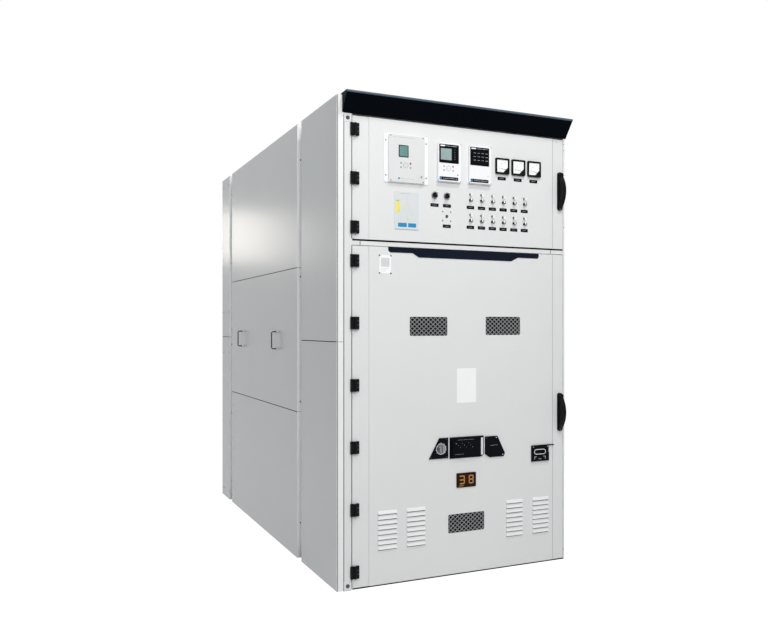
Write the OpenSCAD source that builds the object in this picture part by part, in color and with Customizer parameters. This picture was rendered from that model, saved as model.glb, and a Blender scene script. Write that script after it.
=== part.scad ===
// Metal-clad switchgear cubicle with a withdrawable breaker truck.
// The front faces -Y, +X is to the right of someone facing it, and +Z is up.
// The origin is on the floor, at the centre of the four floor anchor holes.

/* [Cabinet] */
// Width of the cabinet body
body_w = 1400; // [1380:10:1600]
// Depth of the cabinet body
body_d = 2800; // [2760:10:3200]
// Height of the cabinet body
body_h = 2600; // [2580:10:2800]
// Thickness of the frame and partition sheet
sheet = 3; // [2:0.5:4]
// Thickness of the side wall sheet
clad = 2; // [1.5:0.5:3]
// Height of the base ring
base_h = 60; // [50:5:80]
// Width of a base ring flange
base_flange = 50; // [45:1:60]
// Radius of a floor anchor hole
anchor_r = 7; // [5:0.5:9]
// Distance of the anchor holes from the side of the body
anchor_in_x = 28; // [25:1:35]
// Distance of the anchor holes from the front and the rear
anchor_in_y = 150; // [120:5:250]
// Radius of a cable entry in the floor
cable_r = 45; // [30:1:60]

/* [Covers] */
// Depth of the side covers
cover_t = 37.5; // [25:0.5:50]
// Depth of the front side cover
bay_front = 613; // [560:1:620]
// Start of the middle side covers behind the front
bay_mid = 695; // [690:1:750]
// End of the middle side covers behind the front
bay_mid_end = 2440; // [2300:10:2450]
// Start of the rear side covers behind the front
bay_rear = 2530; // [2500:10:2560]
// Height of the seam in the front and rear side covers
seam_z = 1308; // [1200:1:1400]
// Bottom of the removable access panel
access_z0 = 878; // [800:1:950]
// Top of the removable access panel
access_z1 = 1742; // [1650:1:1800]
// Depth of the rear covers
rear_t = 25; // [20:1:30]
// Height of a wire handle
grip_h = 118; // [100:1:140]
// Distance that a wire handle stands off its panel
grip_out = 34; // [28:1:40]
// Forward lean of the header
header_lean = 75; // [50:1:90]
// Drop of the header below the roof
header_drop = 92; // [80:1:110]

/* [Doors] */
// Height of the instrument door
lv_h = 650; // [640:5:700]
// Space between the two doors
door_gap = 35; // [30:1:40]
// Height of the lower door's edge above the floor
door_z0 = 10; // [8:1:20]
// Thickness of the door skin
skin = 2.5; // [2:0.5:3]
// Depth of the door pan
pan_d = 30; // [28:1:31]
// Height of the raised door field
raise = 3; // [2:0.5:4]
// Width of the left post strip beside the doors
strip_l = 47; // [45:1:52]
// Width of the right post strip beside the doors
strip_r = 10; // [8:1:12]
// Height of a hinge
hinge_h = 66; // [54:1:80]
// Radius of a hinge pin
hinge_pin_r = 3; // [2.5:0.5:4]
// Running clearance of a pin in its bore
fit = 0.05; // [0.02:0.01:0.1]
// Height of a swing handle
handle_h = 226; // [200:1:240]
// Width of a swing handle's base
handle_w = 32; // [28:1:36]
// Height of the main door handle above the floor
handle_z = 881; // [860:1:960]
// Teeth of the lock pinion
pinion_teeth = 16; // [12:4:20]
// Module of the lock pinion
gear_m = 1.5; // [1.25:0.25:1.5]

/* [Vents] */
// Width of a mesh vent
vent_w = 231; // [200:1:240]
// Height of a mesh vent
vent_h = 105; // [90:1:110]
// Pitch of the mesh along its width
mesh_px = 28; // [22:1:36]
// Pitch of the mesh along its height
mesh_pz = 24; // [20:1:30]
// Width of a mesh strand
strand = 4.5; // [3:0.5:6]
// Louvres in a group
louvre_n = 8; // [4:1:9]
// Pitch of the louvres
louvre_p = 26.8; // [26:0.2:30]
// Width of a louvre
louvre_w = 111; // [90:1:115]

/* [Breaker truck] */
// Depth of the breaker compartment
breaker_d = 1340; // [1330:5:1360]
// Depth of the instrument compartment
lv_d = 625; // [600:1:626]
// Height of the truck tray
tray_z = 600; // [580:5:620]
// Spacing of the phases
phase = 300; // [280:5:310]
// Height of the lower contacts
contact_z = 1000; // [980:5:1010]
// Height from the lower to the upper contacts
contact_pitch = 480; // [470:5:490]
// Travel of the truck from test to service
travel = 300; // [250:10:300]
// Radius of a fixed contact
contact_r = 22; // [18:1:24]
// Inner radius of a contact spout
spout_r = 75; // [70:1:78]
// Radius of a truck wheel
wheel_r = 30; // [24:1:30]
// Radius of the racking screw
screw_r = 12; // [10:1:13]
// Height of the racking screw above the floor
screw_z = 711; // [705:1:715]

/* [Hidden] */
$fn = 48;

grey = [0.86, 0.88, 0.88];
side_grey = [0.72, 0.74, 0.75];
zinc = [0.66, 0.69, 0.71];
black = [0.05, 0.05, 0.06];
navy = [0.03, 0.05, 0.10];
copper = [0.72, 0.43, 0.26];
resin = [0.45, 0.20, 0.14];
steel = [0.60, 0.62, 0.64];

// Gap between bodies that move past each other
clear = 0.3;
xl = -body_w / 2;
xr = body_w / 2;
yf = -body_d / 2;
yr = body_d / 2;
roof_z = body_h - sheet;

// Front posts: how deep they are and how deep the doors sit in them
post_d = 70;
post_w = 50;
rebate = 36;
land_l = strip_l + 48;
land_r = strip_r + 89;
land_y = yf + rebate;
// Inner posts, measured from the front
mid_post_y = yf + 630;
third_post_y = yf + 2440;
post_len = 60;
rear_post_y = yr - rear_t - post_len;

// Doors
lv_z1 = body_h - header_drop - 8;
lv_z0 = lv_z1 - lv_h;
main_z1 = lv_z0 - door_gap;
main_z0 = door_z0;
door_l = xl + strip_l + 2;
door_r = xr - strip_r - 1.5;
door_y = yf + 1.5;
field_l = xl + 146;
field_r = xr - 88;
field_y = door_y - raise;
door_c = (field_l + field_r) / 2;

// Hinges: a black block pair, with the pin in front of the door's left edge
hinge_x = door_l + 13;
hinge_y = yf - 12;
hinge_leaf_l = 25;
hinge_leaf_r = 23;
barrel_r = 6.5;
lv_hinges = [lv_z1 - 73, (lv_z0 + lv_z1) / 2 - 5, lv_z0 + 62];
main_hinge_n = 6;
main_hinges = [for (i = [0:main_hinge_n - 1])
  main_z0 + 84 + i * (main_z1 - 80 - main_z0 - 84) / (main_hinge_n - 1)];

// Swing handles
handle_x = xr - 36;
lv_handle_z = lv_z0 + 342;
handle_t = 12;
spindle_r = 8;
pivot_drop = 18;
main_pivot_z = handle_z + handle_h / 2 - pivot_drop;
lv_pivot_z = lv_handle_z + handle_h / 2 - pivot_drop;
pinion_r = gear_m * pinion_teeth / 2;
pinion_y = door_y + 7.5;
pinion_t = 10;
rod_t = 8;
rod_w = 7.2;
// Distance from the door's edge to the rod's end when it is locked
rod_in = 28;
backlash = 0.35;

// Racking and the truck, at rest in the test position
y_wall = yf + breaker_d;
tip_y = y_wall - 100;
arm_len = 360;
boss_y = tip_y - arm_len;
pole_y = boss_y - 100;
rail_h = 40;
rail_x = 525;
rail_w = 40;
rail_top = tray_z + rail_h;
axle_z = rail_top + clear + wheel_r;
axle_r = 10;
chassis_x = 500;
chassis_y0 = yf + 145;
chassis_y1 = y_wall - travel - 70;
chassis_z0 = rail_top + 10;
chassis_z1 = screw_z + 49;
beam_y0 = yf + 90;
beam_y1 = yf + 132;
screw_y0 = yf + 55;
screw_y1 = yf + 700;
upper_z = contact_z + contact_pitch;

// Compartments
lv_back_y = yf + lv_d;
lv_floor_z = lv_z0 - 20;
bus_floor_z = (contact_z + upper_z) / 2;
spout_len = travel + 40;
spout_back = 20;
spout_y = y_wall + sheet;
contact_y0 = y_wall + 160;
bar_y = spout_y + spout_len + 12;
bar_t = 10;
main_bar_y = bar_y + 200;
bus_rear_y = main_bar_y + bar_t + 255;

// Shutters: one plate rises and the other drops, and they part on each contact's middle
shutter_t = 3;
shutter_h = 85;
shutter_lap = 4;
rising_y = y_wall - 24;
dropping_y = y_wall - 12;
shutter_x = 482;
guide_d = 50;

// Roof flaps
flap_x = 1000;
flap_d = yr - bus_rear_y - 220;
flap_ys = [(lv_back_y + y_wall) / 2, (y_wall + bus_rear_y) / 2, (bus_rear_y + yr) / 2 - 10];
collar_h = 12;
flap_pin_r = 3;
flap_barrel_x = [-350, 350];

// Cable compartment
drop_y = yr - 400;
bay_y = drop_y - bar_y;
ct_y = bar_y + bay_y / 3;
ct_half = bay_y * 0.156;
ct_top = contact_z - 45;
ct_rail_z = tray_z + 40;
arrester_y = drop_y - bay_y * 0.24;
es_z = 390;
es_len = 340;
es_shaft_r = 15;

// Operating panel on the main door
panel_t = 6;
flap_axis_y = field_y - panel_t - 5;
flap_axis_z = screw_z + 53;
slide_x = xr - 177;
slide_z = 646;
slide_w = 111;
slide_h = 92;
earth_hole_r = 14;
earth_hole_z = slide_z + 26;

// Instruments, measured from the middle of the door field
relay_z = lv_z0 + 444;
meter_z = lv_z0 + 458;
meter_w = 90;
meter_p = 108;
selector_z = lv_z0 + 262;
selector_x = [door_c - 197, door_c - 122];
selector_bore = 5;
link_x0 = door_c + 29;
link_p = 71.6;
link_rows = [lv_z0 + 265, lv_z0 + 150];
link_pin_r = 1.5;
link_bar = 34;

module box(x0, x1, y0, y1, z0, z1)
  translate([x0, y0, z0]) cube([x1 - x0, y1 - y0, z1 - z0]);

// A sheet-metal section: a strip of thickness t along right-angled points
module fold(p, t)
  for (i = [0:len(p) - 2])
    translate([min(p[i].x, p[i + 1].x) - t / 2, min(p[i].y, p[i + 1].y) - t / 2])
      square([abs(p[i].x - p[i + 1].x) + t, abs(p[i].y - p[i + 1].y) + t]);

// Sections drawn in (Y, Z) and run along X
module along_x(x0, x1)
  translate([x0, 0, 0]) rotate([90, 0, 90]) linear_extrude(x1 - x0) children();

// Sections drawn in (X, Z) and run along Y
module along_y(y0, y1)
  translate([0, y1, 0]) rotate([90, 0, 0]) linear_extrude(y1 - y0) children();

module rod_x(r, x0, x1, y, z)
  translate([x0, y, z]) rotate([0, 90, 0]) cylinder(r = r, h = x1 - x0);

module rod_y(r, y0, y1, x, z)
  translate([x, y0, z]) rotate([-90, 0, 0]) cylinder(r = r, h = y1 - y0);

module rod_z(r, z0, z1, x, y)
  translate([x, y, z0]) cylinder(r = r, h = z1 - z0);

module at_phases() for (i = [-1:1]) translate([i * phase, 0, 0]) children();

module both_sides() for (s = [0, 1]) mirror([s, 0, 0]) children();

// Base ring of folded channel, with the floor plate on its flanges
module base_frame() color(zinc) {
  both_sides() difference() {
    along_y(yf + post_d, yr)
      fold([[xl + base_flange - sheet / 2, sheet / 2], [xl + sheet / 2, sheet / 2],
            [xl + sheet / 2, base_h - sheet / 2],
            [xl + base_flange - sheet / 2, base_h - sheet / 2]], sheet);
    for (y = [yf + anchor_in_y, yr - anchor_in_y])
      rod_z(anchor_r, -1, sheet + 1, xl + anchor_in_x, y);
  }
  along_x(xl + land_l, xr - land_r)
    fold([[land_y + base_flange - sheet / 2, sheet / 2], [land_y + sheet / 2, sheet / 2],
          [land_y + sheet / 2, base_h - sheet / 2],
          [land_y + base_flange - sheet / 2, base_h - sheet / 2]], sheet);
  along_x(xl + base_flange + clear, xr - base_flange - clear)
    fold([[yr - base_flange + sheet / 2, sheet / 2], [yr - sheet / 2, sheet / 2],
          [yr - sheet / 2, base_h - sheet / 2],
          [yr - base_flange + sheet / 2, base_h - sheet / 2]], sheet);
  floor_plate();
}

module floor_plate() {
  lap = 5;
  difference() {
    box(xl + base_flange - lap, xr - base_flange + lap,
        land_y + base_flange - lap, yr - base_flange + lap, sheet + clear, 2 * sheet);
    at_phases() rod_z(cable_r, 0, 3 * sheet, 0, drop_y);
  }
}

// Front post: outer strip, rebate for the door and a land behind the door's edge
module front_post(strip, land)
  linear_extrude(roof_z)
    fold([[20, post_d - sheet / 2], [sheet / 2, post_d - sheet / 2],
          [sheet / 2, sheet / 2], [strip - sheet / 2, sheet / 2],
          [strip - sheet / 2, rebate + sheet / 2], [land - sheet / 2, rebate + sheet / 2],
          [land - sheet / 2, post_d - sheet / 2]], sheet);

module inner_post(y0)
  translate([0, 0, base_h]) linear_extrude(roof_z - base_h)
    fold([[xl + clad + post_w - sheet / 2, y0 + sheet / 2],
          [xl + clad + sheet / 2, y0 + sheet / 2],
          [xl + clad + sheet / 2, y0 + post_len - sheet / 2],
          [xl + clad + post_w - sheet / 2, y0 + post_len - sheet / 2]], sheet);

// Channel across the cabinet between its side walls
module cross_rail(y0, z1, w, h, x_end)
  along_x(-x_end, x_end)
    fold([[y0 + sheet / 2, z1 - h + sheet / 2], [y0 + sheet / 2, z1 - sheet / 2],
          [y0 + w - sheet / 2, z1 - sheet / 2], [y0 + w - sheet / 2, z1 - h + sheet / 2]],
         sheet);

// Catch on the right land that a lock rod's end slides into; its right side is open
module rod_keeper(x, z0, z1)
  difference() {
    box(x - rod_w / 2 - 5, x + rod_w / 2 + clear, door_y + skin + 2, land_y, z0, z1);
    box(x - rod_w / 2 - 1, x + rod_w, pinion_y, pinion_y + pinion_t, z0 - 1, z1 + 1);
  }

module frame() color(zinc) {
  slot = [lv_pivot_z - 46, lv_pivot_z + 12];
  translate([xl, yf, 0]) front_post(strip_l, land_l);
  difference() {
    translate([xr, yf, 0]) mirror([1, 0, 0]) front_post(strip_r, land_r);
    box(xr - strip_r - 1, xr - strip_r + sheet + 1, pinion_y, pinion_y + 9, slot[0], slot[1]);
  }
  both_sides() for (y = [mid_post_y, third_post_y, rear_post_y]) inner_post(y);
  rail_end = body_w / 2 - clad - post_w - clear;
  for (y = [mid_post_y, rear_post_y]) cross_rail(y, roof_z, post_len, 40, rail_end);
  wall_end = body_w / 2 - clad;
  for (y = [ct_y - 75, ct_y + 45]) cross_rail(y, ct_rail_z, 30, 40, wall_end);
  cross_rail(arrester_y - 30, ct_top - 440, 60, 40, wall_end);
  front_beam();
  front_top();
  rod_keeper(upper_rod_x(), main_z1 - rod_in - 17, main_z1 - rod_in + 3);
  rod_keeper(lower_rod_x(), main_z0 + rod_in - 3, main_z0 + rod_in + 17);
}

// Hat section between the doors: its nose shows, its lands seal behind both doors
module front_beam()
  along_x(xl + land_l + clear, xr - land_r - clear)
    fold([[land_y + sheet / 2, main_z1 - 25], [land_y + sheet / 2, main_z1 + 3 + sheet / 2],
          [yf + 2 + sheet / 2, main_z1 + 3 + sheet / 2],
          [yf + 2 + sheet / 2, lv_z0 - 3 - sheet / 2],
          [land_y + sheet / 2, lv_z0 - 3 - sheet / 2], [land_y + sheet / 2, lv_z0 + 25]],
         sheet);

module front_top()
  along_x(xl + land_l + clear, xr - land_r - clear)
    fold([[land_y + sheet / 2, lv_z1 - 20], [land_y + sheet / 2, roof_z - sheet / 2],
          [land_y + 40, roof_z - sheet / 2]], sheet);

// Roof plates, one to a compartment, each with a collared relief opening and hinge lugs
module roof_plate() color(zinc) {
  cuts = [yf, y_wall, bus_rear_y, yr];
  rim_x = flap_x / 2 - 12;
  rim_y = flap_d / 2 - 12;
  for (i = [0:2]) difference() {
    union() {
      box(xl, xr, cuts[i] + (i > 0 ? clear : 0), cuts[i + 1], roof_z, body_h);
      box(-rim_x, rim_x, flap_ys[i] - rim_y, flap_ys[i] + rim_y, body_h, body_h + collar_h);
    }
    box(-rim_x + sheet, rim_x - sheet, flap_ys[i] - rim_y + sheet,
        flap_ys[i] + rim_y - sheet, roof_z - 1, body_h + collar_h + 1);
  }
  for (y = flap_ys, x = flap_barrel_x) roof_lug(x, y + flap_d / 2 + 8);
}

module roof_lug(x, y) {
  for (s = [-1, 1])
    box(x + s * 35 - 4, x + s * 35 + 4, y - 5, y + 5, body_h, body_h + 13);
  rod_x(flap_pin_r, x - 36, x + 36, y, body_h + 8);
}

// Relief flap: a shallow pan over its collar, with two hinge barrels at the rear
module flap(y) color(side_grey)
  difference() {
    union() {
      box(-flap_x / 2, flap_x / 2, y - flap_d / 2, y + flap_d / 2,
          body_h + 4, body_h + collar_h + clear + clad);
      for (x = flap_barrel_x) {
        rod_x(5, x - 30, x + 30, y + flap_d / 2 + 8, body_h + 8);
        box(x - 30, x + 30, y + flap_d / 2 - 1, y + flap_d / 2 + 8, body_h + 6, body_h + 10);
      }
    }
    box(-flap_x / 2 + clad, flap_x / 2 - clad, y - flap_d / 2 + clad, y + flap_d / 2 - clad,
        body_h, body_h + collar_h + clear);
    for (x = flap_barrel_x)
      rod_x(flap_pin_r + fit, x - 40, x + 40, y + flap_d / 2 + 8, body_h + 8);
  }

// Side walls in three sheets a side, split on the middle of the posts
module side_walls() color(zinc) {
  cuts = [yf + post_d, mid_post_y + post_len / 2, third_post_y + post_len / 2, yr - rear_t];
  both_sides() for (i = [0:2])
    box(xl, xl + clad, cuts[i] + 0.5, cuts[i + 1] - 0.5, base_h, roof_z);
}

// Pan that stands on the left side, open towards the cabinet
module side_pan(y0, y1, z0, z1)
  difference() {
    box(xl - cover_t, xl, yf + y0, yf + y1, z0, z1);
    box(xl - cover_t + clad, xl + 1, yf + y0 + clad, yf + y1 - clad, z0 + clad, z1 - clad);
  }

seam = 2;
cover_z0 = 4;
module end_covers() color(side_grey) {
  for (z = [[cover_z0, seam_z - seam / 2], [seam_z + seam / 2, body_h]]) {
    side_pan(0, bay_front, z[0], z[1]);
    side_pan(bay_rear, body_d, z[0], z[1]);
  }
  side_pan(bay_mid, bay_mid_end, cover_z0, access_z0 - seam / 2);
  side_pan(bay_mid, bay_mid_end, access_z1 + seam / 2, body_h);
}

grip_r = 4;
module wire_grip(y, z) {
  x = xl - cover_t;
  for (s = [-1, 1]) {
    rod_x(grip_r, x - grip_out, x + 0.5, y, z + s * (grip_h / 2 - grip_r));
    rod_x(grip_r + 3, x - 4, x, y, z + s * (grip_h / 2 - grip_r));
    translate([x - grip_out, y, z + s * (grip_h / 2 - grip_r)]) sphere(r = grip_r);
  }
  rod_z(grip_r, z - grip_h / 2 + grip_r, z + grip_h / 2 - grip_r, x - grip_out, y);
}

module access_panel() color(side_grey) {
  side_pan(bay_mid, bay_mid_end, access_z0 + seam / 2, access_z1 - seam / 2);
  grip_z = (access_z0 + access_z1) / 2 - 9;
  wire_grip(yf + bay_mid + 454, grip_z);
  wire_grip(yf + bay_mid_end - 349, grip_z);
}

module rear_covers() color(side_grey)
  for (z = [[base_h + 2, seam_z - seam], [seam_z + seam, roof_z - 5]])
    difference() {
      box(xl, xr, yr - rear_t, yr, z[0], z[1]);
      box(xl + clad, xr - clad, yr - rear_t - 1, yr - clad, z[0] + clad, z[1] - clad);
    }

// Header over the doors: a leaning front sheet with a round top edge
header_over = 8;
nose = 7;
module header_canopy() color(navy) {
  z0 = body_h - header_drop;
  z1 = body_h + collar_h;
  c = [yf - header_lean + nose, z1 - nose];
  difference() {
    union() {
      along_x(xl - header_over, xr + header_over)
        polygon([[yf, z0], [c.x - nose + 2.5, c.y - 3], c, [c.x, z1 - 0.5], [yf + 20, z1 - 0.5],
                 [yf + 20, body_h], [yf, body_h]]);
      rod_x(nose, xl - header_over, xr + header_over, c.x, c.y);
    }
    along_x(xl - header_over + sheet, xr + header_over - sheet)
      polygon([[yf + 1, z0 + 5], [c.x + 3, c.y - 2], [c.x + 3, z1 - sheet],
               [yf + 20 - sheet, z1 - sheet], [yf + 20 - sheet, body_h - 1],
               [yf + 1, body_h - 1]]);
  }
}

// Inner sheets: the spout wall, the instrument compartment's floor and rear wall, the
// busbar floor and rear wall, and the truck tray
module partitions() color(zinc) {
  x = body_w / 2 - clad;
  difference() {
    box(-x, x, y_wall, y_wall + sheet, base_h, roof_z);
    at_phases() for (z = [contact_z, upper_z])
      rod_y(spout_r + 5, y_wall - 1, y_wall + sheet + 1, 0, z);
  }
  box(-x, x, lv_back_y, lv_back_y + sheet, lv_floor_z, roof_z);
  box(-x, x, yf + post_d, lv_back_y - clear, lv_floor_z, lv_floor_z + sheet);
  box(xl + land_l, xr - land_r, yf + 2 + sheet, yf + post_d, lv_floor_z, lv_floor_z + sheet);
  box(-x, x, spout_y + clear, bus_rear_y - clear, bus_floor_z, bus_floor_z + sheet);
  box(-x, x, bus_rear_y, bus_rear_y + sheet, bus_floor_z, roof_z);
  difference() {
    box(-x, x, yf + post_d, y_wall - clear, tray_z - sheet, tray_z);
    both_sides()
      box(-x - 1, xl + clad + post_w + 1, mid_post_y - 1, mid_post_y + post_len + 1,
          tray_z - 2 * sheet, tray_z + sheet);
  }
}

// Cast-resin spouts on the rear of the wall, ribbed outside
module spouts() color(resin)
  at_phases() for (z = [contact_z, upper_z]) difference() {
    union() {
      rod_y(spout_r + 42, spout_y, spout_y + 14, 0, z);
      rod_y(spout_r + 17, spout_y, spout_y + spout_len, 0, z);
      for (i = [1:4])
        rod_y(spout_r + 29, spout_y + i * 62, spout_y + i * 62 + 14, 0, z);
    }
    rod_y(spout_r, spout_y - 1, spout_y + spout_len - spout_back, 0, z);
    rod_y(contact_r, spout_y, spout_y + spout_len + 1, 0, z);
  }

function main_bar_z(i) = upper_z + 540 + i * 220;
module busbars() color(copper) {
  for (i = [-1:1]) translate([i * phase, 0, 0]) {
    upper_riser(main_bar_z(i));
    lower_bar();
  }
  for (i = [-1:1])
    box(xl + 60, xr - 60, main_bar_y, main_bar_y + bar_t, main_bar_z(i) - 50,
        main_bar_z(i) + 50);
}

module fixed_contact(z) {
  rod_y(contact_r, contact_y0 + 6, spout_y + spout_len + 6, 0, z);
  translate([0, contact_y0, z]) rotate([-90, 0, 0])
    cylinder(r1 = contact_r - 6, r2 = contact_r, h = 6);
  rod_y(contact_r + 14, spout_y + spout_len, bar_y, 0, z);
}

module upper_riser(z1) {
  fixed_contact(upper_z);
  box(-40, 40, bar_y, bar_y + bar_t, upper_z - 45, z1 + 5);
  box(-40, 40, bar_y, main_bar_y, z1 - 5, z1 + 5);
}

module lower_bar() {
  fixed_contact(contact_z);
  box(-40, 40, bar_y, bar_y + bar_t, ct_top, contact_z + 45);
  box(-40, 40, bar_y, ct_y - ct_half + 50, ct_top, ct_top + bar_t);
  box(-40, 40, ct_y + ct_half - 50, drop_y + 30, ct_top, ct_top + bar_t);
  difference() {
    box(-bar_t / 2, bar_t / 2, drop_y - 30, drop_y + 30, es_z + es_len - 30, ct_top + 1);
    for (z = [90, 150])
      rod_x(6.5, -bar_t, bar_t, drop_y - 12, es_z + es_len + z);
  }
}

// Block-type current transformers on two cross rails
module current_transformers() color(resin)
  at_phases() {
    z0 = ct_rail_z;
    side = ct_half - 10;
    post = ct_half - 25;
    box(-95, 95, ct_y - ct_half, ct_y + ct_half, z0, z0 + 12);
    along_x(-75, 75)
      polygon([[ct_y - side, z0 + 12], [ct_y + side, z0 + 12], [ct_y + side, ct_top - 120],
               [ct_y + side - 20, ct_top - 60], [ct_y - side + 20, ct_top - 60],
               [ct_y - side, ct_top - 120]]);
    for (s = [-1, 1]) {
      box(-60, 60, ct_y + s * post - 20, ct_y + s * post + 20, ct_top - 61, ct_top - 15);
      box(-38, 38, ct_y + s * post - 25, ct_y + s * post + 25, ct_top - 16, ct_top);
    }
    for (i = [0:3]) translate([0, ct_y + (i - 1.5) * side * 0.48, 0])
      box(-82, 82, -6, 6, z0 + 12, ct_top - 75);
  }

// Surge arresters under the cable bars, and post insulators that carry the busbars
shed_n = 9;
module arresters_insulators() color(side_grey) {
  for (i = [-1:1], s = [-1, 1]) bar_support(s * 480, main_bar_z(i));
  at_phases() translate([0, arrester_y, ct_top - 440]) {
    cylinder(r = 45, h = 14);
    cylinder(r = 28, h = 425);
    for (i = [0:shed_n - 1])
      translate([0, 0, 40 + i * 40]) cylinder(r1 = 55, r2 = 28, h = 15);
    translate([0, 0, 405]) cylinder(r = 34, h = 20);
    cylinder(r = 8, h = 440);
  }
}

module bar_support(x, z) {
  y0 = main_bar_y + bar_t;
  rod_y(28, y0, bus_rear_y, x, z);
  for (i = [0:4]) rod_y(42, y0 + 30 + i * 42, y0 + 44 + i * 42, x, z);
}

// Cross channel with two bearing plates for the earthing shaft
module earth_switch_frame() color(steel) {
  cross_rail(drop_y - 30, es_z - 50, 60, 40, body_w / 2 - clad);
  for (x = [-570, 570])
    difference() {
      box(x - 5, x + 5, drop_y - 28, drop_y + 28, es_z - 50, es_z + 30);
      rod_x(es_shaft_r + fit, x - 6, x + 6, drop_y, es_z);
    }
}

module earth_bar() color(copper)
  difference() {
    box(xl + 12, xr - 12, rear_post_y - 6, rear_post_y, 90, 130);
    for (i = [-4:4]) rod_y(6.5, rear_post_y - 7, rear_post_y + 1, i * 120, 110);
  }

// Turning shaft with three pairs of blades; at rest they lie open, 5 degrees below level
module earth_blades() color(copper) translate([0, drop_y, es_z]) rotate([-95, 0, 0]) {
  color(steel) rotate([0, 90, 0]) cylinder(r = es_shaft_r, h = 1190, center = true);
  at_phases() {
    rotate([0, 90, 0]) cylinder(r = 26, h = 70, center = true);
    for (s = [0, 1]) mirror([s, 0, 0])
      box(bar_t / 2 + 0.6, bar_t / 2 + 7, -20, 20, 0, es_len);
    box(-9, 9, -20, 20, 0, es_len - 90);
  }
}

module cabinet_rails() color(steel) both_sides() {
  along_y(yf + post_d, y_wall - guide_d)
    fold([[-rail_x - rail_w / 2 + sheet / 2, tray_z + sheet / 2],
          [-rail_x - rail_w / 2 + sheet / 2, rail_top - sheet / 2],
          [-rail_x + rail_w / 2 - sheet / 2, rail_top - sheet / 2],
          [-rail_x + rail_w / 2 - sheet / 2, tray_z + sheet / 2]], sheet);
  difference() {
    box(-shutter_x - 18, -shutter_x + 17, y_wall - guide_d, y_wall, rail_top + 5,
        lv_floor_z);
    for (y = [rising_y, dropping_y])
      box(-shutter_x - 3, -shutter_x + 18, y - shutter_t / 2 - 0.4,
          y + shutter_t / 2 + 0.4, rail_top, lv_floor_z + 1);
  }
}

// Shutter with a leaf at each row of contacts, joined by straps in the side guides. From a
// contact's middle its leaves reach up on the rising plate and down on the dropping one
module shutter(y, up, down, lip) color(steel) {
  y0 = y - shutter_t / 2;
  y1 = y + shutter_t / 2;
  for (z = [contact_z, upper_z]) {
    box(-shutter_x, shutter_x, y0, y1, z - down, z + up);
    far = up > down ? z + up - shutter_t : z - down;
    box(-shutter_x + 30, shutter_x - 30, min(y0, y + lip), max(y1, y + lip),
        far, far + shutter_t);
  }
  both_sides() box(-shutter_x, -shutter_x + 28, y0, y1, contact_z - down, upper_z + up);
}

// Front locking beam of the truck, with two hand slots, on the rails
module truck_beam() color(zinc) {
  z0 = chassis_z0 + 5;
  difference() {
    union() {
      box(-chassis_x, chassis_x, beam_y0, beam_y1, z0, chassis_z1 - 3);
      both_sides() box(-rail_x - 15, -chassis_x + 1, beam_y0, beam_y1, rail_top, z0 + 30);
    }
    box(-chassis_x - 1, chassis_x + 1, beam_y0 + 4, beam_y1 + 1, z0 + 4, chassis_z1 - 7);
    both_sides() box(-370, -260, beam_y0 - 1, beam_y1, screw_z - 18, screw_z + 18);
    rod_y(screw_r + fit, beam_y0 - 1, beam_y1 + 1, 0, screw_z);
  }
  difference() {
    rod_y(screw_r + 14, beam_y0 + 3, beam_y1, 0, screw_z);
    rod_y(screw_r + fit, beam_y0 - 1, beam_y1 + 1, 0, screw_z);
  }
}

module racking_screw() color(steel) {
  rod_y(screw_r, beam_y0 - 9, screw_y1, 0, screw_z);
  rod_y(screw_r + 7, beam_y0 - 9, beam_y0 - clear, 0, screw_z);
  rod_y(screw_r + 7, beam_y1 + clear, beam_y1 + 8, 0, screw_z);
  along_y(screw_y0, beam_y0 - 9) translate([-7, screw_z - 7]) square(14);
}

// Truck chassis: two side channels, cross members, a deck and a screw nut
module truck_chassis() color(zinc) difference() {
  union() {
    both_sides()
      along_y(chassis_y0, chassis_y1)
        fold([[-chassis_x + 40, chassis_z0 + 2], [-chassis_x + 2, chassis_z0 + 2],
              [-chassis_x + 2, chassis_z1 - 2], [-chassis_x + 40, chassis_z1 - 2]], 4);
    for (y = [chassis_y0, chassis_y1 - 50])
      box(-chassis_x + 1, chassis_x - 1, y, y + 6, chassis_z0, chassis_z1 - 1);
    box(-chassis_x + 1, chassis_x - 1, chassis_y0, chassis_y1, chassis_z1 - 3, chassis_z1);
    box(-35, 35, chassis_y0, chassis_y0 + 45, screw_z - 30, chassis_z1 - 1);
    both_sides() for (y = axle_ys)
      rod_x(axle_r + 12, -chassis_x, -chassis_x + 16, y, axle_z);
  }
  rod_y(screw_r + 0.1, chassis_y0 - 1, chassis_y0 + 60, 0, screw_z);
  for (y = axle_ys) rod_x(axle_r + fit, -chassis_x - 1, chassis_x + 1, y, axle_z);
}

axle_ys = [chassis_y0 + 110, chassis_y1 - 130];
wheel_w = 25;
module wheel_set(y) color(steel) {
  rod_x(axle_r, -chassis_x - 30, chassis_x + 30, y, axle_z);
  both_sides() {
    rod_x(wheel_r, -chassis_x - 6 - wheel_w, -chassis_x - 6, y, axle_z);
    rod_x(axle_r + 6, -chassis_x - 7, -chassis_x - 1, y, axle_z);
  }
}

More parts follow.
